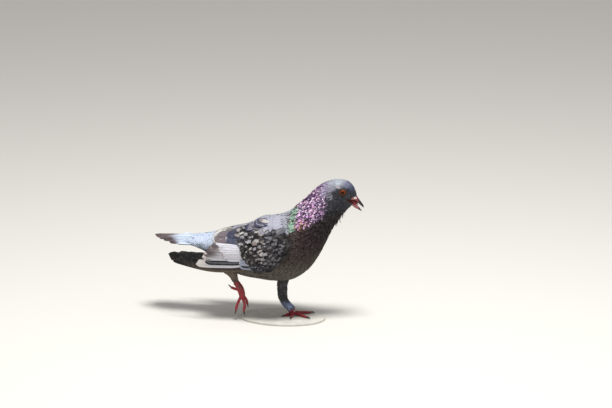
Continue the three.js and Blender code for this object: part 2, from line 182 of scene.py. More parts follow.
# ---------- forms ----------
class Surface:
    """A smooth surface read by two numbers, u and v, with feathers laid along it."""

    nudge = (0.01, 0.01)  # how far apart in u and v its slope is read

    def point(self, u: Array, v: Array, grown: Array | float = 0.0) -> Array:
        """Gives points of the surface, moved outwards by grown, in mm."""
        raise NotImplementedError

    def inside(self, u: Array, v: Array) -> Array:
        """Says which places are on the surface."""
        return np.ones(len(u), bool)

    def local(self, u: Array, v: Array) -> tuple[Array, Array, Array, Array]:
        """Reads the surface round some places.

        Args:
            u: First numbers of the places.
            v: Second numbers of the places.
        Returns:
            The points, the change with u, the change with v, and the outward normals.
        """
        du, dv = self.nudge
        pu = (self.point(u + du, v) - self.point(u - du, v)) / (2 * du)
        pv = (self.point(u, v + dv) - self.point(u, v - dv)) / (2 * dv)
        return self.point(u, v), pu, pv, unit(np.cross(pu, pv))

    def march(self, u: Array, v: Array, way: Array, length: Array, shares: Array) -> Places:
        """Walks over the surface, to lay the middle line of each feather.

        Args:
            u: First numbers of the roots.
            v: Second numbers of the roots.
            way: The direction that each feather points in.
            length: The feathers' lengths, in mm.
            shares: Stations along a feather, from 0 to 1.
        Returns:
            The points and the normals, each as feathers by stations by three.
        """
        here, pu, pv, n = self.local(u, v)
        points, normals = [here], [n]
        for gone in np.diff(shares):
            ds = length * gone
            way = unit(way - n * dot(way, n)[:, None])
            e, f, g = dot(pu, pu), dot(pu, pv), dot(pv, pv)
            a, b = dot(way, pu), dot(way, pv)
            det = np.maximum(e * g - f * f, 1e-9)
            u2, v2 = u + (a * g - b * f) / det * ds, v + (b * e - a * f) / det * ds
            inside = self.inside(u2, v2)
            u, v = np.where(inside, u2, u), np.where(inside, v2, v)
            there, pu, pv, n2 = self.local(u, v)
            here = np.where(inside[:, None], there, here + way * ds[:, None])
            n = np.where(inside[:, None], n2, n)
            points.append(here)
            normals.append(n)
        return np.stack(points, 1), np.stack(normals, 1)


class Profile(Surface):
    """A form told by its top line, its low line and its half width, like the body and the bill."""

    def __init__(self, stations: Rows, fullness: float = 2.0, sag: float = 0.0) -> None:
        """Keeps three rails.

        Args:
            stations: Rows of top x, top z, low x, low z and half width, in mm.
            fullness: 2 for an oval section, more for a squarer one.
            sag: How much wider the lower half is.
        """
        s = np.array(stations, float)
        none = np.zeros(len(s))
        self.top = Rail(np.stack([s[:, 0], none, s[:, 1]], 1))
        self.low = Rail(np.stack([s[:, 2], none, s[:, 3]], 1))
        self.half = Rail(np.stack([s[:, 4], np.arange(len(s)) * 10.0, none], 1))
        self.last = len(s) - 1
        self.fullness, self.sag = fullness, sag

    def point(self, u: Array, v: Array, grown: Array | float = 0.0) -> Array:
        """Gives points of the form: u counts the stations, v is the angle from the top towards the left."""
        t = u / self.last
        top, low, half = self.top.at(t), self.low.at(t), self.half.at(t)[:, 0] + grown
        arm = (top - low) / 2
        size = np.linalg.norm(arm, axis=1)
        arm = arm * ((size + grown) / np.maximum(size, 1e-9))[:, None]
        c, s = np.cos(v), np.sin(v)
        up, aside = (np.sign(a) * np.abs(a) ** (2 / self.fullness) for a in (c, s))
        out = (top + low) / 2 + arm * up[:, None]
        out[:, 1] += half * aside * (1 - self.sag * c)
        return out

    def inside(self, u: Array, v: Array) -> Array:
        """Says which places are between the form's ends."""
        return (u > 0.03) & (u < self.last - 0.03)

    def rings(self, places: Array, around: int, grown: Array | float = 0.0) -> list[Array]:
        """Gives rings of points at some places along the form.

        Args:
            places: The places, counted in stations.
            around: How many points each ring has.
            grown: How far out each ring is moved, in mm.
        Returns:
            The rings.
        """
        v = np.arange(around) / around * 2 * np.pi
        grown = np.broadcast_to(grown, len(places))
        return [self.point(np.full(around, u), v, g) for u, g in zip(places, grown)]

    def form(self, count: int, around: int) -> BMesh:
        """Makes a closed mesh of the whole form, from evenly spaced rings."""
        return loft(self.rings(np.linspace(0, self.last, count), around))


BODY = Profile(
    [
        (-142, 107.4, -138, 94.5, 17.5), (-124, 110.2, -121, 88.5, 22),
        (-110, 113.2, -108, 79.5, 25.5), (-97, 118.2, -96, 69, 30), (-80, 123.2, -82, 60.5, 34.5),
        (-61, 128.2, -64, 55.2, 37.5), (-41, 138.0, -44, 52.4, 39), (-24, 141.2, -21.5, 50.6, 39.5),
        (-10.3, 145.2, 2.3, 53.8, 39), (0, 150.4, 23.4, 67.6, 37), (9.3, 158.8, 37.5, 87, 33.5),
        (17.8, 166, 47.3, 105.8, 28.5), (25.5, 173.4, 55.1, 122.4, 24),
        (32.6, 180.8, 62.1, 134.8, 20.4), (39.6, 187, 69.1, 145, 17.5),
        (48.7, 192.3, 75.2, 152.2, 15.6), (60, 195.7, 80, 156.8, 14.4),
        (69.8, 196.4, 83.2, 159.4, 13.3), (79.7, 193.8, 86, 162.2, 11.0),
        (85.7, 188.1, 87.8, 165.4, 7.2), (89.4, 181, 89.6, 168.6, 4.4),
        (90.7, 177, 90.4, 171.8, 2.2),
    ],
    2.04,
    0.06,
)
UPPER_BILL = Profile(
    [
        (87, 179, 81.5, 171, 5), (91.7, 173.4, 87.6, 168.7, 4.0), (94.8, 169.2, 91.6, 165.8, 2.9),
        (98.0, 165.0, 95.2, 162.7, 2.1), (100.3, 161.6, 98.1, 160.4, 1.3),
        (100.6, 158.7, 100.1, 158.6, 0.4),
    ]
)
LOWER_BILL = Profile(
    [
        (80, 169.4, 79, 161.6, 5), (85.4, 165.7, 84.4, 160.9, 4.2), (90.4, 161.8, 89, 157.6, 3.1),
        (94.3, 158.7, 93.3, 155.7, 2.1), (97.9, 154.4, 97.7, 153.6, 0.5),
    ]
)
MOUTH = Profile([(78.6, 172.4, 78.4, 171.6, 16), (84.4, 170.6, 82.6, 167.6, 16), (96, 166, 94, 160, 16)])
GAPE = Profile(
    [
        (79, 171, 78.5, 167, 4.8), (84.5, 169.6, 83.8, 166.2, 4.2), (89.5, 167.2, 88.6, 163, 2.9),
        (92.6, 165.2, 91.8, 162.2, 1.2),
    ]
)
TONGUE = Profile(
    [(83, 169, 82.2, 167.9, 1.6), (88.2, 165.8, 87.4, 164.6, 1.9), (93.2, 161.9, 92.8, 161.2, 0.8)]
)
EYE_AT = (73.8, 9.7, 181.0)
EYE_RADIUS = 5.2


@dataclass
class WingForm(Surface):
    """The outside of the left wing: u is how far ahead, v the angle from straight up round its axis."""

    layer: float = 7.2  # how far this layer stands off the trunk
    reach: float = 45.0  # how far the wing's outside is from its axis
    tip_reach: float = 38.0
    tip: float = -163.5
    flare: float = 31.0  # the reach of its upper edge behind the shoulder
    primaries: float = 3.4
    join: float = 3.0  # how softly the trunk's reach and the blade's run together
    nudge: Pair = (0.6, 0.015)
    grid: float = 3.0  # mm and degrees between the places where the trunk is measured
    first: Pair = (-172.0, 6.0)
    last: Pair = (24.0, 150.0)
    trunk_end: float = -141.0

    @staticmethod
    def axis_height(x: Array) -> Array:
        """Gives the height of the wing's axis."""
        return mix(88.0, 96.0, step(x, -160, -40))

    @cached_property
    def trunk(self) -> Array:
        """Measures, for a grid of places and angles, how far the trunk reaches from the wing's axis."""
        xs, degrees = (np.arange(a, b, self.grid) for a, b in zip(self.first, self.last))
        angles = np.radians(degrees)
        along, round_ = np.meshgrid(np.linspace(0, BODY.last, 240), np.linspace(0, np.pi, 150))
        lines = BODY.point(along.ravel(), round_.ravel()).reshape(150, 240, 3)
        reach = np.zeros((len(xs), len(angles)))
        for row, x in zip(reach, xs):
            if x < self.trunk_end:
                continue
            y = np.array([np.interp(x, line[:, 0], line[:, 1], 0, 0) for line in lines])
            z = np.array([np.interp(x, line[:, 0], line[:, 2]) for line in lines])
            z -= float(self.axis_height(np.array([x]))[0])
            angle = np.arctan2(y, z)
            order = np.argsort(angle)
            row[:] = np.interp(angles, angle[order], np.hypot(y, z)[order])
        return reach

    def trunk_reach(self, x: Array, angle: Array) -> Array:
        """Reads how far the trunk reaches, between the grid's places."""
        t = self.trunk
        i = np.clip((x - self.first[0]) / self.grid, 0, t.shape[0] - 1.001)
        j = np.clip((angle - radians(self.first[1])) / radians(self.grid), 0, t.shape[1] - 1.001)
        i0, j0 = i.astype(int), j.astype(int)
        low, high = (mix(t[i0, k], t[i0 + 1, k], i - i0) for k in (j0, j0 + 1))
        return mix(low, high, j - j0)

    def radius(self, x: Array, angle: Array, depth: Array | float) -> Array:
        """Gives how far a layer of the wing is from the axis: on the trunk in front, and a blade behind."""
        on = self.trunk_reach(x, angle) + depth
        out = mix(self.reach, self.tip_reach, step(-x, 100, -self.tip))
        flare = mix(self.flare, out, step(angle, radians(30), radians(88)))
        over_blade = np.minimum(depth, 5) + 0.3 * np.maximum(np.asarray(depth) - 5, 0)
        blade = (flare - self.primaries + over_blade) * step(-x, 14, 72)
        h = np.maximum(self.join - np.abs(on - blade), 0) / self.join
        return np.maximum(on, blade) + h * h * self.join / 4

    def point(self, u: Array, v: Array, grown: Array | float = 0.0) -> Array:
        """Gives points of the wing's outside, which sinks to the back's own level near the middle line."""
        return self.place(u, v, self.layer * step(v, radians(3), radians(46)) + grown)

    def place(self, u: Array, v: Array, depth: Array) -> Array:
        """Gives points that stand off the trunk by their own depth."""
        r = self.radius(u, v, depth)
        return np.stack([u, r * np.sin(v), self.axis_height(u) + r * np.cos(v)], 1)


@dataclass
class TailForm:
    """The fan of tail feathers: a sheet read by how far ahead and how far to the left."""

    root: float = -112.0
    tip: float = -192.0
    root_half: float = 19.0
    end_half: float = 24.5
    root_height: float = 107.5
    tip_height: float = 104.5
    arch: float = 6.8
    droop: float = 2.4  # how much more its edges hang at the root

    def share(self, x: Array) -> Array:
        """Says how far along the tail a place is."""
        return np.clip((self.root - x) / (self.root - self.tip), -0.3, 1.1)

    def place(self, x: Array, y: Array, lift: Array) -> Array:
        """Puts points seen from above onto the fan, lifted off it."""
        s = self.share(x)
        on = np.clip(s, 0, 1)
        q = y / mix(self.root_half, self.end_half, on**0.8)
        arch = self.arch + self.droop * (1 - on) ** 1.5
        z = mix(self.root_height, self.tip_height, s) - arch * q * q
        return np.stack([x, y, z + lift], 1)


WING = WingForm()
FAR_WING = WingForm(layer=4.2)
TAIL = TailForm()


# ---------- meshes ----------
def link(name: str, data: bpy.types.ID) -> Object:
    """Makes an object and puts it in the scene."""
    made = bpy.data.objects.new(name, data)
    bpy.context.scene.collection.objects.link(made)
    return made


def settle(name: str, bm: BMesh) -> Mesh:
    """Makes a mesh of a bmesh, which is freed."""
    mesh = bpy.data.meshes.new(name)
    bm.to_mesh(mesh)
    bm.free()
    return mesh


def mark_colour(mesh: Mesh, name: str, colours: Array) -> None:
    """Marks each vertex of a mesh with a colour."""
    mark = mesh.attributes.new(name, "FLOAT_COLOR", "POINT")
    rgba = np.concatenate([colours, np.ones((len(colours), 1))], 1)
    mark.data.foreach_set("color", rgba.astype(np.float32).ravel())


class Shop:
    """Makes objects from pieces worked out in the bird's own frame, in mm from under its standing foot."""

    def __init__(self) -> None:
        """Finds where the standing foot is, from the base that it stands on."""
        low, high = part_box("stand_base")
        self.origin = np.array([(low.x + high.x) / 2 / MM + FOOT_AHEAD, 0.0, high.z / MM])

    def out(self, points: Array) -> Array:
        """Turns the bird's mm into the row's metres."""
        return (points + self.origin) * MM

    def back(self, points: Array) -> Array:
        """Turns the row's metres into the bird's mm."""
        return points / MM - self.origin

    def move(self, bm: BMesh, change: Callable[[Array], Array]) -> None:
        """Moves all the vertices of a bmesh from the one frame to the other."""
        co = np.array([v.co for v in bm.verts], float).reshape(-1, 3)
        for vert, place in zip(bm.verts, change(co)):
            vert.co = place

    def object(self, name: str, bm: BMesh, material: Material, slot: str) -> Object:
        """Makes a smooth object of a bmesh that is in the bird's mm."""
        self.move(bm, self.out)
        for face in bm.faces:
            face.smooth = True
        return self.dress(name, settle(name, bm), material)

    def dress(self, name: str, mesh: Mesh, material: Material) -> Object:
        """Makes an object of a finished mesh, and has it ride on the body.

        Args:
            name: The piece's name.
            mesh: Its mesh.
            material: Its material.
        Returns:
            The object.
        """
        mesh.materials.append(material)
        made = link(name, mesh)
        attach(made, "root")
        LOG.info("%s: %d faces", name, len(mesh.polygons))
        return made


SHOP = Shop()


def loft(rings: list[Array]) -> BMesh:
    """Bridges rings of points, each of as many points, into one closed form with its faces outwards."""
    bm = bmesh.new()
    loops = []
    for i, ring in enumerate(rings):
        closed = i in (0, len(rings) - 1)
        caps = {"cap_ends": closed, "cap_tris": closed}
        made = bmesh.ops.create_circle(bm, segments=len(ring), radius=1.0, **caps)["verts"]
        if closed:
            made[0].co = ring.mean(0)
            made = made[1:]
        for vert, place in zip(made, ring):
            vert.co = place
        members = set(made)
        linked = dict.fromkeys(e for v in made for e in v.link_edges)
        loops.append([e for e in linked if members.issuperset(e.verts)])
    for a, b in zip(loops, loops[1:]):
        bmesh.ops.bridge_loops(bm, edges=a + b)
    bmesh.ops.recalc_face_normals(bm, faces=bm.faces[:])
    return bm


class Tip(Enum):
    """How a feather ends: half widths at its stations, from root to tip."""

    ROUND = (0.30, 0.74, 0.97, 1.0, 0.80, 0.24)
    LANCE = (0.34, 0.80, 1.0, 0.88, 0.58, 0.10)
    HAIR = (0.45, 0.85, 1.0, 0.92, 0.66, 0.16)
    BROAD = (0.36, 0.86, 1.0, 1.0, 0.86, 0.34)


STATIONS = np.array([0.0, 0.24, 0.48, 0.70, 0.89, 1.0])


class Vane:
    """One thin closed vane, made once, that is laid out many times."""

    def __init__(self, corners: int, stations: int) -> None:
        """Bridges small rings into the vane, and keeps its faces.

        Args:
            corners: How many points there are round it.
            stations: How many rings there are along it.
        """
        turn = np.arange(corners) / corners * 2 * np.pi
        ring = np.stack([np.zeros(corners), np.cos(turn), np.sin(turn)], 1)
        bm = bmesh.new()
        rims = []
        for i in range(stations):
            ended = i in (0, stations - 1)
            made = bmesh.ops.create_circle(bm, segments=corners, radius=1.0, cap_ends=ended)["verts"]
            rims.append(list(dict.fromkeys(e for v in made for e in v.link_edges)))
            for vert, place in zip(made, ring + [i, 0, 0]):
                vert.co = place
        for a, b in zip(rims, rims[1:]):
            bmesh.ops.bridge_loops(bm, edges=a + b)
        bmesh.ops.recalc_face_normals(bm, faces=bm.faces[:])
        bm.verts.index_update()
        self.faces = [[v.index for v in f.verts] for f in bm.faces]
        bm.free()
        self.corners = corners
        self.across, self.above = ring[:, 1], ring[:, 2]
        self.rims = np.flatnonzero(np.abs(self.across) > 0.99)

    def replicate(self, name: str, verts: Array, marks: dict[str, Array], flip: bool = False) -> Mesh:
        """Makes a mesh of many vanes.

        Args:
            name: The mesh's name.
            verts: Vanes by vertices by three, in mm.
            marks: What each vertex is marked with: colours end in _rgb, map is the patch of each vane on
                the coat's map, and the rest are vectors.
            flip: Whether it is mirrored to the right side.
        Returns:
            The mesh.
        """
        count, each = verts.shape[:2]
        verts = verts * [1, -1 if flip else 1, 1]
        sizes = np.array([len(f) for f in self.faces])
        flat = np.concatenate([np.array(f) for f in self.faces])
        loops = (flat[None] + (np.arange(count) * each)[:, None]).ravel()
        totals = np.tile(sizes, count)
        starts = np.concatenate([[0], np.cumsum(totals)[:-1]])
        mesh = bpy.data.meshes.new(name)
        mesh.vertices.add(count * each)
        mesh.vertices.foreach_set("co", SHOP.out(verts.reshape(-1, 3)).astype(np.float32).ravel())
        mesh.loops.add(len(loops))
        mesh.loops.foreach_set("vertex_index", loops.astype(np.int32))
        mesh.polygons.add(len(totals))
        mesh.polygons.foreach_set("loop_start", starts.astype(np.int32))
        mesh.polygons.foreach_set("use_smooth", np.ones(len(totals), bool))
        mesh.update(calc_edges=True)
        mesh.validate()
        ends = np.zeros(len(mesh.edges) * 2, np.int32)
        mesh.edges.foreach_get("vertices", ends)
        corner = (ends.reshape(-1, 2) % each) % self.corners
        rim = (corner[:, 0] == corner[:, 1]) & np.isin(corner[:, 0], self.rims)
        mesh.attributes.new("sharp_edge", "BOOLEAN", "EDGE").data.foreach_set("value", rim)
        for key, value in marks.items():
            if key == "map":
                layer = mesh.uv_layers.new(name="OFBake")
                layer.uv.foreach_set("vector", value.reshape(-1, 2)[loops].astype(np.float32).ravel())
            elif key.endswith("_rgb"):
                mark_colour(mesh, key[:-4], value.reshape(-1, 3))
            else:
                mark = mesh.attributes.new(key, "FLOAT_VECTOR", "POINT")
                mark.data.foreach_set("vector", value.reshape(-1, 3).astype(np.float32).ravel())
        if flip:
            mesh.flip_normals()
        return mesh


SMALL_VANE = Vane(4, len(STATIONS))
FULL_VANE = Vane(8, len(STATIONS))


@dataclass
class Look:
    """How each feather of a batch is coloured."""

    tint: Array  # its own colour
    trim: Array  # the colour of its fringe
    fringe: Array  # how much of it the fringe takes, from 0 to 1
    gloss: Array | float = 0.0  # how much it glitters, from 0 to 1
    side: float = 1.0  # how much of the fringe runs up the edges
    spot: Array | float = 0.0  # how large a spot of the fringe's colour it has, about 1 for a full one


def columns(shape: tuple[int, int], *values: Array | float) -> Array:
    """Stacks the parts of a mark.

    Args:
        shape: How many feathers there are, and how many vertices each has.
        values: Each part, told for each vertex, for each feather, or once for all.
    Returns:
        Feathers by vertices by parts.
    """
    full = [v[:, None] if np.ndim(v) == 1 else v for v in values]
    return np.stack([np.broadcast_to(v, shape) for v in full], 2)


@dataclass
class Batch:
    """Feathers of one kind, laid on a surface: where they start, and how each one is."""

    u: Array
    v: Array
    way: Array
    length: Array
    width: Array
    sink: Array
    lift: Array
    look: Look
    tip: Tip = Tip.ROUND
    thick: float = 0.2
    camber: float = 0.07
    settle: float = 2.1  # how soon the vane comes up to the surface of the coat
    vane: Vane = SMALL_VANE
    turn: Array | float = 0.0  # how far it is turned round its own length

    def verts(self, surface: Surface) -> Array:
        """Lays the vanes on a surface, and gives their vertices as vanes by stations by corners by three."""
        centre, normal = surface.march(self.u, self.v, self.way, self.length, STATIONS)
        ahead = unit(np.gradient(centre, axis=1))
        side = unit(np.cross(normal, ahead))
        t = np.reshape(self.turn, (-1, 1, 1))
        side, normal = side * np.cos(t) + normal * np.sin(t), normal * np.cos(t) - side * np.sin(t)
        s = STATIONS[None, :, None]
        rise = self.lift[:, None, None] * s**2 - self.sink[:, None, None] * (1 - s) ** self.settle
        half = self.width[:, None, None] / 2 * np.array(self.tip.value)[None, :, None]
        c, top = self.vane.across[None, None], self.vane.above[None, None]
        bulk = self.thick * mix(1.0, 0.45, s) * np.where(top > 0, 1.0, 0.7) * top
        drop = self.camber * half * c * c
        aside, up = (half * c)[..., None], (rise + bulk - drop)[..., None]
        return centre[:, :, None] + side[:, :, None] * aside + normal[:, :, None] * up

    def mesh(self, name: str, surface: Surface, place: Places, seed: int, flip: bool = False) -> Mesh:
        """Makes the mesh of the batch.

        Args:
            name: Its name.
            surface: What the feathers lie on.
            place: Where each root is on the unwrap of the skin.
            seed: The start of the random draws.
            flip: Whether it is mirrored to the right side.
        Returns:
            The mesh, with its marks.
        """
        verts = self.verts(surface)
        count, each = len(verts), len(STATIONS) * self.vane.corners
        along = np.repeat(STATIONS, self.vane.corners)[None]
        across = np.tile(self.vane.across, len(STATIONS))[None]
        chance = np.random.default_rng(seed).random(count)
        look, shape = self.look, (count, each)
        u, v = (a[:, None] for a in place)
        marks = {
            "tint_rgb": np.repeat(look.tint[:, None], each, 1),
            "trim_rgb": np.repeat(look.trim[:, None], each, 1),
            "vane": columns(shape, along, across, chance),
            "size": columns(shape, self.length, self.width / 2, look.fringe),
            "gloss": columns(shape, look.gloss, look.side, look.spot),
            "map": columns(shape, u + across * 0.5 * PATCH, v + (along - 0.5) * PATCH),
        }
        return self.vane.replicate(name, verts.reshape(count, each, 3), marks, flip)


def scatter(points: Array, spacing: Array) -> Array:
    """Keeps as many points as fit with a clear distance between them.

    Args:
        points: Candidates, in the order they are tried.
        spacing: The distance that each keeps.
    Returns:
        The numbers of those kept.
    """
    tree = kdtree.KDTree(len(points))
    for i, p in enumerate(points):
        tree.insert(p, i)
    tree.balance()
    free = np.ones(len(points), bool)
    kept = []
    for i, p in enumerate(points):
        if free[i]:
            kept.append(i)
            free[[j for _, j, _ in tree.find_range(p, float(spacing[i]))]] = False
    return np.array(kept)


def roots(surface: Surface, ranges: tuple[float, ...], spacing: Callable[..., Array], seed: int) -> Array:
    """Draws the roots of feathers over part of a surface, more of them where the spacing is small.

    Args:
        surface: The surface.
        ranges: Its first and last u, and its first and last v.
        spacing: Gives the spacing in mm, from u, v and the points.
        seed: The start of the random draws.
    Returns:
        A row of u and a row of v that keep their distance.
    """
    draws, tries = 160000, 6.0  # tries: how many places are tried for each that can be kept
    rng = np.random.default_rng(seed)
    u = rng.uniform(ranges[0], ranges[1], draws)
    v = rng.uniform(ranges[2], ranges[3], draws)
    p, pu, pv, _ = surface.local(u, v)
    area = np.linalg.norm(np.cross(pu, pv), axis=1)
    gap = spacing(u, v, p)
    weight = np.where(gap > 0, area / np.maximum(gap, 0.1) ** 2, 0)
    total = weight.mean() * (ranges[1] - ranges[0]) * (ranges[3] - ranges[2])
    count = int(min(total * tries, np.count_nonzero(weight) * 0.8))
    chosen = rng.choice(len(u), count, replace=False, p=weight / weight.sum())
    kept = chosen[scatter(p[chosen], gap[chosen])]
    return np.stack([u[kept], v[kept]])


# ---------- markings ----------
class Markings:
    """The bird's colours, told once for the skin and for the coat over it."""

    # the marks of the face: colour, centre, half length and half height, turn, strength, and how much the
    # strength grows with chance
    face_spots = (
        ("5f6376", (83, 189), (6, 6), 0, 1, 0),
        ("2f3036", (85, 180), (6, 6), 0, 1, 0),
        ("8c8b9a", (59, 186), (8, 4.5), 8, 0.9, 0),
        ("84838f", (60, 175.8), (4.2, 4.6), 0, 0.4, 0.5),
        ("aeb8bd", (69.5, 193), (3.4, 4.5), 0, 0.6, 0),
        ("77748e", (78.5, 190.5), (4, 3), -30, 0.5, 0),
        ("3f4663", (87, 185.5), (3, 4.5), -25, 0.7, 0),
        ("29282b", (74.5, 180.5), (9, 6.4), 0, 0.85, 0),
        ("b7b0b6", (70.3, 187.6), (3.4, 0.9), 2, 0.8, 0),
        ("b5766e", (88, 171.4), (2.8, 1.6), -20, 1, 0),
    )

    @staticmethod
    def trunk(x: Array, z: Array, up: Array, chance: Array) -> Array:
        """Colours the breast, the belly, the back, the mantle and the rump, with painted light and a painted
        shadow under the tail.

        Args:
            x: How far ahead each place is, in mm.
            z: How high it is.
            up: How far its normal points up.
            chance: A random number each, from 0 to 1.
        Returns:
            The colours.
        """
        loose = x + (chance - 0.5) * 7
        back = step(up, 0.15, 0.6)
        rump = step(x, -72, -82) * step(z, 86, 92)
        return over(
            plain("544e47", len(x)),
            ("463e39", step(z, 64, 92)),
            ("3c3230", step(x, -12, 22) * step(z, 76, 104)),
            ("2b1f20", step(x, 8, 34) * step(z, 92, 120)),
            ("221b1b", step(x, 30, 50) * step(z, 112, 132)),
            ("4a4037", step(x, -44, -72) * step(z, 92, 74)),
            ("a3a1ab", back * step(x, 2, -10) * step(z, 122, 132)),
            ("3c393d", step(x, 4, -4) * step(z, 88, 100) * step(z, 128, 118)),
            ("9695a0", back * step(x, -30, -50) * step(x, -78, -62)),
            ("9fa0ab", step(x, -34, -26) * step(loose, 10, 5) * step(z, 124, 132)),
            ("cfccc5", rump),
            ("aba7a1", rump * (chance > 0.65)),
            ("bcc7da", rump * step(loose, -89, -100)),
            # the undertail's pale blue, brightened where it faces down: painted light under the rump
            ("d3def2", rump * step(loose, -96, -106) * step(up, -0.1, -0.5)),
            # a dark grey wedge under the rump, facing down: painted shadow between the tail and the wing
            ("4d4e56", step(x, -92, -104) * step(x, -128, -122) * step(z, 93.5, 91) * step(up, 0, -0.5)),
        )

    @staticmethod
    def pinks(x: Array, z: Array, rise: Array, chance: Array) -> Array:
        """Colours the fringes of the glittering collar, violet and pink, with painted glints and painted
        shade between them.

        Args:
            x: How far ahead each place is, in mm.
            z: How high it is.
            rise: How high it is over the collar's lower line.
            chance: A random number each, from 0 to 1.
        Returns:
            The colours.
        """
        loose = x + (chance - 0.5) * 7
        # a wave of painted glints: the bright clumps are painted highlights, the dark clumps painted shade
        # between them
        painted_glints = np.sin(0.95 * x + 0.55 * z + 2 * chance) * np.sin(0.85 * z - 0.6 * x)
        return over(
            # the palest pick, ffe0fa, is a painted glint
            choose(chance, (0.3, 0.52, 0.74, 0.9), ("e0a6d6", "a172a6", "ffe0fa", "6c4a77", "d6b8ea")),
            ("76668a", step(loose, 36, 52) * 0.6),
            ("f6d2ee", step(painted_glints, 0.15, 0.6) * 0.7),
            ("3a2845", step(painted_glints, -0.15, -0.6) * 0.75),
            ("b98a68", step(rise, 13, 3) * step(x, 36, 24) * (chance > 0.4)),
            ("42383f", step(rise, 9, 0) * step(x, 34, 44) * 0.8),
        )

    @classmethod
    def face(cls, x: Array, z: Array, up: Array, chance: Array) -> Array:
        """Colours the head: pale on the crown, partly as painted top light, and on the nape, dark round the
        eye and on the throat.
        """
        # the crown's own paler grey, lightened further on surfaces facing up as painted top light
        crown_and_top_light = step(z, 184, 192) * step(up, 0.1, 0.7)
        colour = over(plain("303138", len(x)), ("989ca6", crown_and_top_light), ("242225", step(z, 162, 154)))
        for code, centre, radii, turn, strength, loose in cls.face_spots:
            colour = over(colour, (code, spot(x, z, centre, radii, turn) * (strength + loose * chance)))
        return colour

    @classmethod
    def body(cls, p: Array, n: Array, chance: Array) -> Look:
        """Colours the head, neck, trunk and rump.

        Args:
            p: Places, in mm.
            n: The outward normals there.
            chance: A random number each, from 0 to 1.
        Returns:
            Their look.
        """
        x, z, up = p[:, 0], p[:, 2], n[:, 2]
        loose = x + (chance - 0.5) * 7
        c = cls.trunk(x, z, up, chance)
        trim = c * 1.12
        # the collar, up to a slanting line below which the neck is dark
        rise = z - np.interp(x, [0, 12, 27, 54, 60], [124, 132, 138, 149, 158])
        neck = step(loose, 13, 17) * step(loose, 59, 52) * step(rise, -3, 3)
        green = step(x, 7.0, 9.0) * step(x, 18.0, 15.5) * step(z, 131, 136) * step(z, 163, 157)
        green = green * (chance > 0.15)
        c = over(c, ("241a2b", neck), ("40364c", neck * step(x, 34, 52) * 0.8), ("5c6f64", green))
        trim = mix(trim, cls.pinks(x, z, rise, chance), neck[:, None])
        trim = over(trim, ("a9ccb6", green * (0.5 + 0.5 * chance)))
        # the head
        head = step(loose, 51, 58) * step(z, 146, 154)
        face = cls.face(x, z, up, chance)
        nape = spot(x, z, (51, 185), (7, 9)) * (0.5 + 0.5 * chance)
        c = over(mix(c, face, head[:, None]), ("8f879e", nape))
        trim = over(mix(trim, face * 1.2, head[:, None]), ("9c93ab", nape * 0.8))
        fringe = mix(mix(0.16, 0.25 + 0.42 * again(chance, 7.3), neck), 0.5, green)
        shade = (0.93 + 0.14 * chance)[:, None]
        return Look(c * shade, trim * shade, mix(fringe, 0.25, head), np.maximum(neck, green) * 0.8)

    @staticmethod
    def coverts(p: Array, angle: Array, chance: Array) -> Look:
        """Colours the chequered feathers over the wing: dark, most of them with one pale spot.

        Args:
            p: Where the middles of their shown parts are, in mm.
            angle: Their angles round the wing's axis.
            chance: A random number each, from 0 to 1.
        Returns:
            Their look.
        """
        x, z = p[:, 0], p[:, 2]
        front = step(x, -36, -16)
        bound = np.radians(np.interp(x, [-60, -42], [24, 44]))
        top = step(angle, bound + 0.1, bound - 0.1)
        mantle = top * step(x, -40, -27)
        rear = np.interp(z, [72, 80, 88, 100, 111], [-16, -25, -38, -48, -56])
        edge = step(x, rear + 8, rear) * step(angle, radians(58), radians(68))
        low = step(z, 84, 79) * step(x, -36, -31) * (again(chance, 4.3) > 0.25)
        pale = over(
            choose(again(chance, 17.3), (0.35, 0.6, 0.8), ("a7a2a1", "c3bdba", "8b8686", "a09ea3")),
            ("8b746d", (again(chance, 11.3) > 0.7) * step(z, 96, 106) * step(x, -52, -42) * 0.6),
            ("5f5e67", front * 0.85),
            ("5c5b63", step(x, -42, -26) * step(z, 92, 80) * 0.8),
            ("dcd7da", top),
            ("8e93a6", edge * step(z, 90, 80)),
        )
        dark = over(
            choose(again(chance, 5.7), (0.45, 0.75), ("0b090a", "191617", "2b282b")),
            ("726f7b", top * 0.85),
            ("a8a9b6", mantle * 0.95),
        )
        size = 0.55 + 0.65 * again(chance, 3.1)
        size = size * (1 - 0.85 * edge * (again(chance, 9.1) > 0.2))
        size = size * (1 - 0.4 * front * (again(chance, 7.7) > 0.4)) * (1 - 0.85 * low)
        return Look(dark, pale, 0.05, side=0.0, spot=np.where(mantle > 0.5, 0.0, size))

    @staticmethod
    def leg(p: Array, chance: Array) -> Look:
        """Colours the feathers of the thighs and of the fronts of the tarsi: browner on the right leg, with
        painted highlights on the front of the standing tarsus.
        """
        x, y, z = p.T
        right = step(y, -4, -12)
        c = over(
            plain("3b3a3b", len(x)),
            ("6a5e53", right * step(z, 50, 62)),
            ("50564f", right * step(z, 54, 46)),
            ("4a4a4d", (1 - right) * (chance > 0.75)),
            ("6f7a98", (1 - right) * step(z, 25, 17)),
            # pale blue flecks on the front of the standing tarsus: painted highlights
            ("a3b0d0", (1 - right) * step(z, 22, 15) * (chance > 0.55) * step(x, -11, -7)),
        )
        return Look(c * (0.85 + 0.3 * chance)[:, None], c * 1.3, 0.2)

    @staticmethod
    def leg_skin(p: Array) -> Array:
        """Colours the bare skin of the legs: red, greyer on the standing shank, darker at the joints."""
        y, z = p[:, 1], p[:, 2]
        shank = step(y, 0, 6) * step(z, 6, 11)
        return over(plain("a23239", len(p)), ("6c6f80", shank), ("5a5652", step(z, 52, 60)))


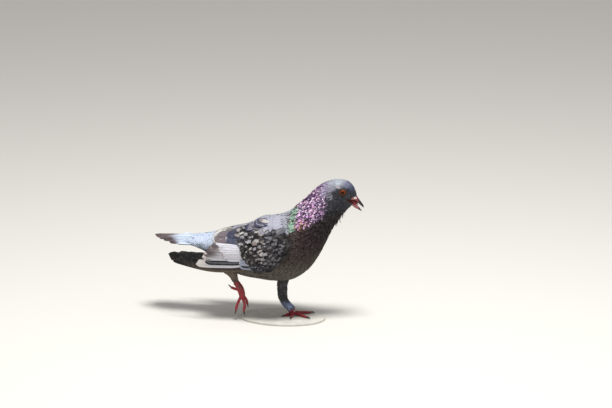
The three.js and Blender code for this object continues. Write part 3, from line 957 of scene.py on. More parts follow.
# ---------- the coat ----------
def eye_flow(p: Array, way: Array) -> Places:
    """Turns the feathers that are near an eye, so that they part round it.

    Args:
        p: The roots, in mm.
        way: Where they point.
    Returns:
        The turned directions, and how far each root is from the eye's middle, seen from the side.
    """
    dx, dz = p[:, 0] - EYE_AT[0], p[:, 2] - EYE_AT[2]
    far = np.hypot(dx, dz)
    c, s = np.cos(np.arctan2(dz, -dx)), np.sin(np.arctan2(dz, -dx))
    share = (5.3 / np.maximum(far, 5.4)) ** 2
    out, along = c * (1 - share), -s * (1 + share)
    flow = np.stack([along * s - out * c, np.zeros(len(far)), out * s + along * c], 1)
    near = (step(far, 13, 7) * step(np.abs(p[:, 1]), 5, 8))[:, None]
    return mix(way, flow * np.linalg.norm(way, axis=1, keepdims=True), near), far


@dataclass
class BodyCoat:
    """The small feathers of the head, neck, trunk and rump: their sizes in mm, by the body's stations."""

    spacing: Curve = table(
        (0, 3.7), (3, 3.5), (8, 3), (9.5, 2.6), (11, 2.15),
        (13, 1.9), (14.5, 1.6), (17, 1.32), (19, 1.15), (21, 1),
    )
    length: Curve = table(
        (0, 16), (4, 14), (8, 11), (9.5, 10), (11, 8.6), (13, 7.2), (14.5, 5.6), (17, 4.2), (19, 3), (21, 2)
    )
    width: Curve = table(
        (0, 6.2), (4, 5.4), (8, 4.5), (9.5, 3.8), (11, 2.9),
        (13, 2.5), (14.5, 2.2), (17, 1.9), (19, 1.6), (21, 1.3),
    )
    depth: Curve = table(
        (0, 2.8), (8, 2.6), (10, 2.2), (13, 1.8), (15, 1.2), (18, 0.9), (21, 0.6)
    )
    lift: Curve = table((0, 0.08), (9, 0.1), (11, 0.3), (13.5, 0.28), (15, 0.04), (21, 0))
    unruly: Curve = table((0, 0.12), (9, 0.17), (12, 0.2), (15, 0.13), (21, 0.1))
    twist: Curve = table((0, 0.04), (9, 0.05), (10.5, 0.1), (12, 0.2), (15, 0.04))
    clumps: tuple[float, ...] = (14.9, 14.15, 13.4)  # the stations of the throat's standing tufts
    # each piece's name, its first and last station, its slot, its feathers' tip and their thickness
    tracts: tuple[tuple, ...] = (
        ("coat_rump", -1.0, 4.0, "rump_feathers", Tip.ROUND, 0.13),
        ("coat_belly", 4.0, 9.6, "body_feathers", Tip.ROUND, 0.13),
        ("coat_neck", 9.6, 14.2, "neck_feathers", Tip.LANCE, 0.16),
        ("coat_head", 14.2, 22.0, "head_feathers", Tip.HAIR, 0.09),
    )

    def gap(self, u: Array, v: Array, p: Array) -> Array:
        """Gives the spacing between roots, and 0 where no feather grows."""
        x, z = p[:, 0], p[:, 2]
        y = np.abs(p[:, 1])
        bare = (np.hypot(x - EYE_AT[0], z - EYE_AT[2]) < 6.1) & (y > 6)
        bare |= (x > 88.3) & (z < 183)
        bare |= (x > 86.2) & (z < 173.6)
        bare |= (x > 79.5) & (z < 172.5) & (z > 161.5 - (x - 79.5) * 0.3)
        angle = np.arctan2(y, z - WING.axis_height(x))
        covered = (x < 0) & (x > -88) & (angle > radians(46)) & (angle < radians(103))
        return np.where(bare | covered, 0.0, self.spacing(u))

    def build(self, finish: Material) -> None:
        """Lays the coat in four pieces, from the rump to the head."""
        u, v = roots(BODY, (0.05, 21.0, 0.0, 2 * pi), self.gap, 11)
        rng = np.random.default_rng(12)
        count = len(u)
        chance = rng.random(count)
        p, pu, _, n = BODY.local(u, v)
        way = -unit(pu)
        jitter = rng.normal(0, 1, count) * self.unruly(u)
        way, far = eye_flow(p, way + unit(np.cross(n, way)) * jitter[:, None])
        throat = step(u, 13.0, 13.8) * step(u, 17.0, 16.0) * step(n[:, 2], -0.2, -0.7)
        vent = step(u, 3.4, 2.2) * step(n[:, 2], 0.3, -0.2)
        length = self.length(u) * rng.uniform(0.78, 1.18, count) * (1 + 0.6 * throat)
        room = np.maximum(far - 4.6, 1.6) + 2.5 * (p[:, 0] < EYE_AT[0])  # as far as the eye's rim
        length = np.where(np.abs(p[:, 1]) > 6, np.minimum(length, room), length)
        look = Markings.body(p, n, chance)
        lift = self.lift(u) * rng.uniform(0.3, 1.7, count)
        clump = sum(np.exp(-(((u - k) / 0.17) ** 2)) for k in self.clumps) * np.exp(-(((v - pi) / 0.3) ** 2))
        draw = rng.uniform(0.0, 1.0, count)
        lift = lift + throat * (1.4 * draw**2 + clump * (2.0 + 4.5 * draw))
        lift = lift + vent * rng.uniform(0.0, 0.5, count)
        turn = rng.normal(0, 1, count) * self.twist(u)
        for name, start, end, slot, tip, thick in self.tracts:
            i = np.flatnonzero((u >= start) & (u < end))
            width = self.width(u) * rng.uniform(0.9, 1.1, count) * (1 + 0.6 * throat)
            told = (a[i] for a in (u, v, way, length, width, self.depth(u), lift))
            worn = Look(look.tint[i], look.trim[i], look.fringe[i], look.gloss[i])
            batch = Batch(*told, worn, tip=tip, thick=thick, turn=turn[i])
            SHOP.dress(name, batch.mesh(name, BODY, (v[i] / (2 * pi), u[i] / 22), 13), finish)


@dataclass
class CovertCoat:
    """The rounded feathers over one wing, from the front edge to where the flight feathers show."""

    side: str
    seed: int
    radius: float = 42.0  # of the wing, to set feathers side by side
    across: float = 76.0  # mm from the wing's front edge to the rear
    # the shoulder's few large feathers: how far ahead, the angle, the length, the width, the colour, the
    # edge's colour and the edge's share
    shoulder: tuple[tuple, ...] = (
        (-37, 37, 22, 17, "75727d", "3a3c50", 0.3),
        (-22, 29, 24, 22, "43445a", "6f6f80", 0.04),
        (-22, 29, 21.2, 17.4, "8d8c97", "8d8c97", 0.1),
        (-22, 29, 19.6, 14.6, "47485c", "54566a", 0.1),
        (-22, 28, 16.5, 9.5, "b9b3b4", "84797a", 0.34),
    )

    @staticmethod
    def edges(angle: float) -> tuple[float, float]:
        """Gives the wing's front edge and the coverts' rear edge at an angle."""
        r = math.degrees(angle)
        front = np.interp(r, [8, 24, 36, 50, 66, 90, 112, 122], [-10, -9, -6, 1, 10, 2, -14, -24])
        rear = np.interp(r, [8, 24, 36, 50, 66, 83, 100, 106], [-58, -62, -66, -67, -62, -54, -43, -35])
        return float(front), float(rear)

    def rows(self, rng: np.random.Generator) -> Array:
        """Sets the roots out in rows that follow the wing's edges, each row shifted by half a feather.

        Args:
            rng: The random draws.
        Returns:
            How far ahead, the angle, and how far from the front edge to the rear each root is.
        """
        found = []
        share, i = 0.0, 0
        while share < 0.80:
            wide = np.interp(share, [0, 0.3, 0.8], [5.4, 7.0, 8.4])
            angle = radians(9 + (i % 2) * 0.5 * math.degrees(wide / self.radius))
            while angle < radians(115):
                front, rear = self.edges(angle)
                u = front + (rear - front) * (share + rng.normal(0, 0.012))
                if self.side == "right" or u >= -34 or angle >= radians(44):
                    found.append((u, angle + rng.normal(0, 0.012), share))
                angle += wide / self.radius * rng.uniform(0.92, 1.08)
            share += wide * 0.78 / self.across
            i += 1
        return np.array(found).T

    @property
    def form(self) -> WingForm:
        """Gives the form of its wing: the left one lies closer to the body."""
        return FAR_WING if self.side == "left" else WING

    def lay(self, name: str, batch: Batch, place: Places, seed: int, finish: Material) -> None:
        """Makes one piece of the wing's coat."""
        mesh = batch.mesh(f"{name}_{self.side}", self.form, place, seed, self.side == "right")
        SHOP.dress(mesh.name, mesh, finish)

    def build(self, finish: Material) -> None:
        """Lays the coverts of the wing, and the large feathers of its shoulder."""
        rng = np.random.default_rng(self.seed + 1)
        u, v, share = self.rows(rng)
        count = len(u)
        chance = rng.random(count)
        p = self.form.point(u, v)
        tilt = np.radians(np.interp(np.degrees(v), [25, 45, 65, 90, 115], [-12, -24, -32, -30, -15]))
        tilt = tilt + rng.normal(0, 0.12, count)
        top = step(v, radians(54), radians(42))
        way = np.stack([-np.cos(tilt), np.zeros(count), np.sin(tilt)], 1)
        length = np.interp(share, [0, 0.35, 0.8], [13, 17, 20]) * rng.uniform(0.93, 1.08, count)
        width = np.interp(share, [0, 0.35, 0.8], [9, 11.4, 13.2]) * rng.uniform(0.92, 1.08, count)
        lift = rng.uniform(0.2, 1.3, count) * (1 - 0.8 * top)
        look = Markings.coverts(p + way * (length * 0.78)[:, None], v, chance)
        turn = rng.normal(0, 0.1, count) * (1 - 0.7 * top)
        sizes = (Tip.BROAD, 0.26, 0.12, 1.7, FULL_VANE, turn)
        batch = Batch(u, v, way, length, width, np.full(count, 2.6), lift, look, *sizes)
        self.lay("coat_wing", batch, ((v - 0.3) / 2, (14 - u) / 112), self.seed + 2, finish)
        self.scapulars(finish)

    def scapulars(self, finish: Material) -> None:
        """Lays the few large rounded feathers of the shoulder: pale, with a dark edge."""
        far = self.side == "left"
        u, v, length, width, _, _, share = (np.array(c) for c in zip(*self.shoulder))
        tint, trim = (np.array([rgb(row[k]) for row in self.shoulder]) for k in (4, 5))
        v = np.radians(v + 12 * far)
        count = len(u)
        way = np.tile([-1.0, 0.0, -0.05], (count, 1))
        lift = np.linspace(1.4, 3.6, count) * (1 - 0.7 * far)
        look = Look(tint, trim, share, side=0.92)
        sizes = (Tip.BROAD, 0.3, 0.1, 1.7, FULL_VANE)
        batch = Batch(u, v, way, length, width, np.full(count, 0.8), lift, look, *sizes)
        self.lay("scapulars", batch, (v, u / -100), self.seed + 5, finish)


# ---------- flight and tail feathers ----------
@dataclass
class Quill:
    """One large feather, told on its form by its root and its tip."""

    root: tuple[float, float]
    tip: tuple[float, float]
    outer: float  # width of the outer web, in mm
    inner: float
    layer: float  # how far it stands off the form
    tint: str
    trim: str
    fringe: float = 0.1
    side: float = 0.0  # how much of the fringe runs up the edges
    bow: float = 0.0  # how far its middle is from a straight line
    blunt: float = 1.2
    sunk: float = 0.0  # how much deeper its root lies


class Quills:
    """Lays large feathers on the wing or on the tail, as detailed vanes with a shaft."""

    stations = 18
    across = np.array([1, 0.62, 0.09, 0, -0.09, -0.62, -1, -0.62, -0.09, 0, 0.09, 0.62])
    above = np.array([0, 0.12, 0.12, 0.46, 0.12, 0.12, 0, -0.15, -0.15, -0.4, -0.15, -0.15])
    vane = Vane(12, 18)

    def __init__(self, feathers: list[Quill], seed: int) -> None:
        """Keeps the feathers to lay."""
        self.feathers = feathers
        self.rng = np.random.default_rng(seed)

    def put(self, a: Array, b: Array, lift: Array) -> Array:
        """Puts points of the feathers' plan onto the form, lifted off it, in mm."""
        raise NotImplementedError

    def metric(self, a: Array) -> Array:
        """Says how many mm one step across the plan is, at places along it."""
        return np.ones(len(a))

    def lay(self, f: Quill, s: Array) -> tuple[Array, float]:
        """Lays one feather.

        Args:
            f: The feather.
            s: Its stations, from 0 to 1.
        Returns:
            Its points, and its length in mm.
        """
        a = mix(f.root[0], f.tip[0], s)
        b = mix(f.root[1], f.tip[1], s) + f.bow * np.sin(np.pi * s)
        scale = self.metric(a)
        da, db = np.gradient(a), np.gradient(b) * scale
        long = np.hypot(da, db)
        length = float(long.sum())
        start = 1 - f.blunt * (f.outer + f.inner) / 2 / length
        wide = np.interp(s, [0, 0.15, 0.4, 1], [0.35, 0.7, 1, 0.96])
        wide = wide * np.sqrt(np.clip(1 - (np.maximum(s - start, 0) / (1 - start)) ** 2, 0.004, 1))
        off = wide[:, None] * (np.where(self.across > 0, f.outer, f.inner) * self.across)[None]
        aa = a[:, None] - off * (db / long)[:, None]
        bb = b[:, None] + off * (da / long)[:, None] / scale[:, None]
        ripple = 0.12 * np.sin(s * 9 + self.rng.uniform(0, 6))
        base = f.layer + ripple - f.sunk * (1 - step(s, 0.05, 0.6))
        lift = base[:, None] + self.above[None] * mix(1, 0.5, s)[:, None]
        return self.put(aa.ravel(), bb.ravel(), lift.ravel()), length

    def mesh(self, name: str, flip: bool = False) -> Mesh:
        """Makes one mesh of all the feathers.

        Args:
            name: The mesh's name.
            flip: Whether it is mirrored to the right side.
        Returns:
            The mesh, with its marks and a strip of the map for each feather.
        """
        s = np.linspace(0, 1, self.stations) ** 0.85
        laid, chances = [], []
        for feather in self.feathers:
            laid.append(self.lay(feather, s))
            chances.append(self.rng.random())
        told = self.feathers
        count, each = len(told), self.stations * len(self.across)
        shape, chance = (count, each), np.array(chances)
        along, across = np.repeat(s, len(self.across))[None], np.tile(self.across, self.stations)[None]
        strip = (np.arange(count)[:, None] + 0.5 + across * 0.42) / count
        shade = (0.94 + 0.12 * chance)[:, None, None]
        half = np.array([(f.outer + f.inner) / 2 for f in told])
        fringe, side = np.array([(f.fringe, f.side) for f in told]).T
        marks = {
            "tint_rgb": np.tile(np.array([[rgb(f.tint)] for f in told]) * shade, (1, each, 1)),
            "trim_rgb": np.tile(np.array([[rgb(f.trim)] for f in told]) * shade, (1, each, 1)),
            "vane": columns(shape, along, across, chance),
            "size": columns(shape, np.array([length for _, length in laid]), half, fringe),
            "gloss": columns(shape, 0.0, side, 0.0),
            "map": columns(shape, strip, 0.02 + 0.96 * along),
        }
        return self.vane.replicate(name, np.array([points for points, _ in laid]), marks, flip)


class WingQuills(Quills):
    """Large feathers of the wing: the plan is how far ahead, and the angle round its axis in degrees."""

    def put(self, a: Array, b: Array, lift: Array) -> Array:
        """Puts points onto the wing's form, closer together over the back."""
        return WING.place(a, np.radians(b), lift * mix(0.45, 1.0, step(b, 36, 62)))

    def metric(self, a: Array) -> Array:
        """Gives the mm of one degree round the axis."""
        return np.radians(mix(42.0, 38.0, step(-a, 100, 163)))


class TailQuills(Quills):
    """Tail feathers: the plan is how far ahead, and how far to the left."""

    def put(self, a: Array, b: Array, lift: Array) -> Array:
        """Puts points onto the tail's fan, closer together at the end."""
        return TAIL.place(a, b, lift * mix(1.0, 0.45, TAIL.share(a)))


@dataclass
class FlightFeathers:
    """The tertials, secondaries and primaries of one wing."""

    side: str
    # the secondaries from the lowest up: the angle, how far back the tip is, the colour, the tip's colour
    # and its share
    folded: tuple[tuple, ...] = (
        (111.5, -124, "cfced8", "eae4e1", 0.26),
        (106.0, -110, "141519", "6b6568", 0.03),
        (103.0, -109, "63646d", "a09b9d", 0.06),
        (99.6, -108, "141519", "5e595b", 0.03),
        (96.4, -114, "cbcad3", "d6cdc9", 0.22),
        (92.0, -111, "cfced8", "7d7375", 0.34),
        (87.0, -108.5, "d9d8e0", "5f5658", 0.38),
        (82.0, -105, "d0cfd9", "756b6c", 0.40),
        (77.0, -101, "dbdae3", "5f5658", 0.38),
        (72.0, -98, "d3d1d9", "877c7d", 0.36),
        (67.0, -95, "d8d6dc", "756a6c", 0.36),
    )
    # three small feathers at the wing's lower edge, and then the tertials, told as a Quill is
    others: tuple[tuple, ...] = (
        ((-32, 116), (-62, 115), 5, 4, 4.9, "8f96aa", "c3c8d6", 0.1, 0.0, 0, 1.2, 1.0),
        ((-32, 112), (-60, 111.5), 4.5, 3.6, 5.3, "2b2c35", "2b2c35", 0.0, 0.0, 0, 1.2, 1.0),
        ((-32, 109), (-63, 107.5), 5, 3, 5.7, "a2a8ba", "c3c8d6", 0.1, 0.0, 0, 1.2, 1.0),
        ((-46, 60), (-100, 55), 8.5, 9, 6.2, "6c6166", "b5aaac", 0.06, 0.0, 2, 1.2, 3.0),
        ((-46, 44), (-99, 43), 8.5, 9, 6.6, "71666b", "e3d9d7", 0.09, 0.5, 1, 1.2, 3.0),
        ((-40, 38), (-80, 37), 8, 9, 5.4, "41435a", "6f7083", 0.05, 0.0, 0, 1.2, 6.5),
        ((-36, 62), (-84, 57.5), 9, 9, 6.9, "434659", "e3e0e4", 0.1, 0.0, 2, 1.2, 6.5),
        ((-36, 49), (-85, 46), 9, 10, 7.2, "3a3d52", "d9d6dc", 0.06, 0.0, 1, 1.2, 6.5),
    )
    # the primaries' tips, from the outermost in: how far ahead, and the angle
    ends: tuple[Pair, ...] = (
        (-160, 95), (-163.5, 89.5), (-161.5, 87), (-149.6, 86),
        (-137, 87), (-125, 88), (-113, 89), (-104, 90),
    )

    def secondaries(self) -> list[Quill]:
        """Lists the secondaries from the lowest up, the pale fan over them, and the tertials."""
        made = []
        for j, (angle, back, tint, trim, band) in enumerate(self.folded):
            layer = 2.9 + 0.34 * j if j < 4 else 4.0 + 0.12 * (j - 4)
            root, tip = (-28, angle + 3), (back, angle - 3)
            made.append(Quill(root, tip, 9.0, 3.6, layer, tint, trim, band, bow=1.0, sunk=0.6))
        for j in range(9):
            root, tip = (-38, 103 - 4.0 * j), (-81.5 - 1.9 * j - 2.5 * math.sin(j * 2.1), 96.5 - 4.0 * j)
            tint = ("d2d1da", "dbdae2")[j % 2]
            made.append(Quill(root, tip, 9.5, 3.8, 5.2 + 0.07 * j, tint, "b3a9ac", 0.16, sunk=1.5))
        return made + [Quill(*row) for row in self.others]

    def primaries(self) -> list[Quill]:
        """Lists the primaries, from the outermost, which lies deepest, to the innermost."""
        shorter, tucked = (7.0, 13.0) if self.side == "left" else (0.0, 0.0)
        made = []
        for j, (back, angle) in enumerate(self.ends):
            root, tip = (-48, 127 - 2.1 * j), (back + shorter, angle - tucked)
            bow = (4.5, 2.5, 0.5, -5.0)[min(j, 3)]
            tint = ("5f544a", "4e443b", "3d3631")[j] if j < 3 else ("18181a", "1f1e20")[j % 2]
            trim, band = ("1d1c1b", 0.5) if j < 3 else ("5b544f", 0.05)
            outer = 4.4 if j < 2 else 3.8
            made.append(Quill(root, tip, outer, 9.5, 0.8 + 0.25 * j, tint, trim, band, bow=bow, blunt=1.5))
        return made

    def build(self, finish: Material) -> None:
        """Makes the two groups of feathers, which stand for the solids of the wing behind its coverts."""
        right = self.side == "right"
        groups = (
            ("secondaries", self.secondaries(), 31, "secondary_feathers"),
            ("primaries", self.primaries(), 32, "primary_feathers"),
        )
        for part, feathers, seed, slot in groups:
            name = f"flight_{self.side}_{part}"
            if not right:  # the left wing lies closer, and has none rooted near the middle of the back
                feathers = [f for f in feathers if f.root[1] > 48]
                feathers = [replace(f, layer=f.layer * 0.55, sunk=f.sunk * 0.4) for f in feathers]
            mesh = WingQuills(feathers, seed + 2 * right).mesh(name, right)
            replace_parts(SHOP.dress(name, mesh, finish), f"wing_{self.side}_{part}")


@dataclass
class Tail:
    """The twelve feathers of the folded tail, the middle pair on top."""

    count: int = 12
    left_corner: float = 22.0  # how much shorter the outermost feather is, on the left
    right_corner: float = 42.0  # and on the right

    def feather(self, j: int) -> Quill:
        """Tells one feather, counted from the right."""
        q = -1 + (2 * j + 1) / self.count
        far = abs(q)
        end = TAIL.tip + (self.right_corner * far**2 if q < 0 else self.left_corner * far**3)
        root, tip = (-104.0, q * TAIL.root_half * 0.45), (end, q * TAIL.end_half * 0.8)
        # the outermost pair takes a darker grey, painted shade along the tail's lowered outer edges
        tint = "c7d2e3" if far < 0.8 else "6c7484"
        trim = "2a2224" if far > 0.8 else ("6d6062", "574a4c", "4a3e40")[j % 2 + (q < -0.4)]
        band = (0.42, 0.36, 0.44, 0.39)[j % 4] + 0.14 * (q > 0.2) - 0.08 * (q < -0.5)
        outer = 3.6 if q < -0.8 else 7.0
        return Quill(root, tip, outer, 7.0, mix(1.9, -2.2, far), tint, trim, band, bow=q * 2.5, blunt=1.0)

    def build(self, finish: Material) -> None:
        """Makes the tail."""
        mesh = TailQuills([self.feather(j) for j in range(self.count)], 41).mesh("tail_feathers")
        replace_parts(SHOP.dress("tail_feathers", mesh, finish), "tail")


# ---------- skin ----------
def scratch(bm: BMesh, *materials: Material) -> Object:
    """Makes a passing object of a form in mm, for modifiers to work on."""
    made = link("scratch", settle("scratch", bm))
    for material in materials:
        made.data.materials.append(material)
    return made


def worked(source: Object, *steps: tuple[str, dict]) -> Mesh:
    """Works a passing object over with modifiers, and removes it.

    Args:
        source: The object.
        steps: Each modifier's kind and its settings.
    Returns:
        The finished mesh.
    """
    for kind, settings in steps:
        modifier = source.modifiers.new(kind, kind)
        for key, value in settings.items():
            setattr(modifier, key, value)
    mesh = bpy.data.meshes.new_from_object(source.evaluated_get(bpy.context.evaluated_depsgraph_get()))
    bpy.data.objects.remove(source)
    return mesh


def join(bm: BMesh, other: BMesh) -> None:
    """Adds a second form to a first, and frees it."""
    mesh = settle("part", other)
    bm.from_mesh(mesh)
    bpy.data.meshes.remove(mesh)


def node_form(names: list[str], grow: float) -> BMesh:
    """Copies CAD nodes in the bird's mm, merged, and moved out along their normals.

    Args:
        names: The nodes.
        grow: How far out, in mm.
    Returns:
        Their joined form.
    """
    bm = bmesh.new()
    for name in names:
        one = bmesh.new()
        one.from_mesh(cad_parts[name].data)
        SHOP.move(one, SHOP.back)
        bmesh.ops.remove_doubles(one, verts=one.verts[:], dist=0.01)
        bmesh.ops.recalc_face_normals(one, faces=one.faces[:])
        one.normal_update()
        for vert, normal in [(v, v.normal.copy()) for v in one.verts]:
            vert.co += normal * grow
        join(bm, one)
    return bm


def read(mesh: Mesh, name: str) -> Array:
    """Reads a vector of every vertex of a mesh, such as co or normal."""
    values = np.zeros(len(mesh.vertices) * 3)
    mesh.vertices.foreach_get(name, values)
    return values.reshape(-1, 3)


@dataclass
class Skin:
    """The one skin that carries the coat: body, wing roots, legs and toes."""

    depth: float = 0.62  # how deep it lies, as a share of the depth of the feathers' roots
    around: int = 96
    grain: float = 0.42  # size of the legs' mesh, in mm
    wing_grain: float = 1.1  # and of the wing roots'
    wing_depth: float = 1.9  # how deep the skin of the wing roots lies
    left_depth: float = 3.2  # how much deeper it lies in the left wing, under its thinner coat

    def body(self, finish: Material, lining: Material) -> Mesh:
        """Makes the body's skin, with the open mouth cut into it."""
        places = np.concatenate([np.linspace(0.05, 13, 90), np.linspace(13.1, 20.9, 80)])
        rings = BODY.rings(places, self.around, -self.depth * BodyCoat().depth(places))
        whole = scratch(loft(rings), finish)
        wedge = scratch(MOUTH.form(14, 24), lining)
        cut = {"operation": "DIFFERENCE", "object": wedge, "solver": "EXACT", "material_mode": "TRANSFER"}
        mesh = worked(whole, ("BOOLEAN", cut))
        bpy.data.objects.remove(wedge)
        return mesh

    def wing(self, side: str) -> Mesh:
        """Makes the skin of one wing's root."""
        bm = node_form([f"wing_{side}_shoulder"], -self.wing_depth)
        for vert in bm.verts if side == "left" else ():
            out = Vector((0, vert.co.y, vert.co.z - WING.axis_height(vert.co.x)))
            vert.co -= out.normalized() * self.left_depth
        return worked(scratch(bm), ("REMESH", {"mode": "VOXEL", "voxel_size": self.wing_grain}))

    def legs(self, side: str) -> Mesh:
        """Makes one leg's skin, from the thigh to the toes, in one piece."""
        bm = node_form([f"tarsus_{side}"] + [f"toe_{side}_{i}" for i in TOES], 0.5)
        join(bm, node_form([f"thigh_{side}"], -1.0))
        remesh = {"mode": "VOXEL", "voxel_size": self.grain, "use_smooth_shade": True}
        return worked(scratch(bm), ("REMESH", remesh), ("SMOOTH", {"factor": 0.5, "iterations": 5}))

    @staticmethod
    def tint(part: str, p: Array, normal: Array) -> Array:
        """Colours one part of the skin, the body as its coat is coloured."""
        if part == "body":
            return Markings.body(p, normal, np.full(len(p), 0.5)).tint * 0.9
        return Markings.leg_skin(p) if part == "leg" else plain("4a474a", len(p))

    def build(self, finish: Material, lining: Material, bare: Material) -> None:
        """Joins the parts of the skin and colours them.

        Args:
            finish: The finish under the feathers.
            lining: The mouth's.
            bare: The legs'.
        """
        parts = [("body", self.body(finish, lining))]
        for side in SIDES:
            parts += [("wing", self.wing(side)), ("leg", self.legs(side))]
        co, tints, faces, kinds = [], [], [], []
        base = 0
        for part, mesh in parts:
            co.append(read(mesh, "co"))
            tints.append(self.tint(part, co[-1], read(mesh, "normal")))
            for poly in mesh.polygons:
                faces.append([base + i for i in poly.vertices])
                kinds.append(2 if part == "leg" else min(poly.material_index, 1))
            base += len(mesh.vertices)
        joined = bpy.data.meshes.new("skin")
        joined.from_pydata(SHOP.out(np.vstack(co)).tolist(), [], faces)
        joined.polygons.foreach_set("use_smooth", np.ones(len(faces), bool))
        made = SHOP.dress("skin", joined, finish)
        for extra in (lining, bare):
            joined.materials.append(extra)
        joined.polygons.foreach_set("material_index", np.array(kinds, np.int32))
        mark_colour(joined, "tint", np.vstack(tints))
        legs = [f"{n}_{s}" for n in ("thigh", "tarsus") for s in SIDES]
        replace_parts(made, "head", "neck", "trunk", "rump", *legs)
        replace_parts(made, *(f"toe_{s}_{i}" for s in SIDES for i in TOES))


# ---------- legs' feathers and claws ----------
class Limb(Surface):
    """A leg along a smooth path: u is the share of its length, v the angle round it."""

    nudge = (0.004, 0.01)

    def __init__(self, knots: Rows) -> None:
        """Keeps the path and the size: rows of x, y, z, half width and half depth, in mm."""
        k = np.array(knots, float)
        self.path = Rail(k[:, :3])
        self.size = Rail(np.stack([k[:, 3], k[:, 4], np.arange(len(k)) * 5.0], 1))

    def point(self, u: Array, v: Array, grown: Array | float = 0.0) -> Array:
        """Gives points of the leg."""
        ahead = unit(self.path.at(u + self.nudge[0]) - self.path.at(u - self.nudge[0]))
        across = unit(np.cross(np.array([0.0, 1.0, 0.0]), ahead))
        side = np.cross(ahead, across)
        size = self.size.at(u) + np.reshape(grown, (-1, 1))
        aside, deep = size[:, :1] * np.sin(v)[:, None], size[:, 1:2] * np.cos(v)[:, None]
        return self.path.at(u) - side * aside + across * deep

    def inside(self, u: Array, v: Array) -> Array:
        """Says which places are on the leg."""
        return (u > 0.01) & (u < 0.985)


LIMBS = {
    "left": Limb(
        [
            (-19, 14, 62, 11, 13),
            (-14.6, 12.6, 52, 8.4, 9.4),
            (-15.2, 11.6, 44, 7, 7.3),
            (-15.2, 11, 34, 6.3, 6.7),
            (-14.2, 10.6, 24, 5.6, 6.2),
            (-11, 10.3, 17, 4.8, 5.3),
            (-5, 10, 10.8, 4.7, 5.3),
            (0.6, 10, 4.8, 5, 5.2),
        ]
    ),
    "right": Limb(
        [
            (-88, -17, 78, 10, 13),
            (-82, -18.5, 68, 7.6, 10),
            (-76.9, -20, 60, 5, 6),
            (-73, -20.3, 50.4, 3.3, 3.8),
            (-68, -20.6, 43, 3.4, 4.4),
            (-65, -20.8, 36, 3.6, 4.4),
            (-63.8, -21, 30, 3.8, 3.6),
        ]
    ),
}


@dataclass
class LegCoat:
    """The short feathers of one thigh, which end part of the way down the tarsus."""

    side: str
    end: float  # where they end in front, as a share of the leg
    seed: int
    higher: float = 0.42  # how much higher they end behind on the right leg
    spacing: Curve = table((0, 2.9), (0.5, 2.1), (1, 1.5))
    length: Curve = table((0, 8.5), (0.5, 5.2), (1, 3.4))
    width: Curve = table((0, 4.4), (0.5, 3), (1, 2.1))
    depth: Curve = table((0, 1.6), (0.5, 1.2), (1, 1.4))

    def gap(self, u: Array, v: Array, p: Array) -> Array:
        """Gives the spacing, and 0 below where the feathers end."""
        low = self.end - self.higher / 2 * (1 + np.cos(v)) * (self.side == "right")
        return np.where(u > low, 0.0, self.spacing(u))

    def build(self, finish: Material) -> None:
        """Lays the feathers of the leg."""
        limb = LIMBS[self.side]
        u, v = roots(limb, (0.03, self.end, 0, 2 * pi), self.gap, self.seed)
        rng = np.random.default_rng(self.seed + 1)
        count = len(u)
        chance = rng.random(count)
        p, pu, _, n = limb.local(u, v)
        way = unit(pu)
        way = way + unit(np.cross(n, way)) * rng.normal(0, 0.16, count)[:, None]
        length = self.length(u) * rng.uniform(0.85, 1.15, count)
        lift, look = rng.uniform(0.1, 0.9, count), Markings.leg(p, chance)
        batch = Batch(u, v, way, length, self.width(u), self.depth(u), lift, look, thick=0.24)
        name = f"coat_thigh_{self.side}"
        mesh = batch.mesh(name, limb, (v / (2 * pi), u), self.seed + 2)
        SHOP.dress(name, mesh, finish)


def soften(bm: BMesh, factor: float) -> None:
    """Smooths a form a little."""
    axes = {"use_axis_x": True, "use_axis_y": True, "use_axis_z": True}
    bmesh.ops.smooth_vert(bm, verts=bm.verts[:], factor=factor, **axes)


def build_claws(finish: Material) -> None:
    """Makes the eight claws, each smoother than its solid."""
    for side in SIDES:
        for i in TOES:
            node = f"claw_{side}_{i}"
            bm = node_form([node], 0.06)
            bmesh.ops.subdivide_edges(bm, edges=bm.edges[:], cuts=2, use_grid_fill=True, smooth=0.6)
            for _ in range(3):
                soften(bm, 0.35)
            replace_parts(SHOP.object(f"nail_{side}_{i}", bm, finish, "claw_horn"), node)


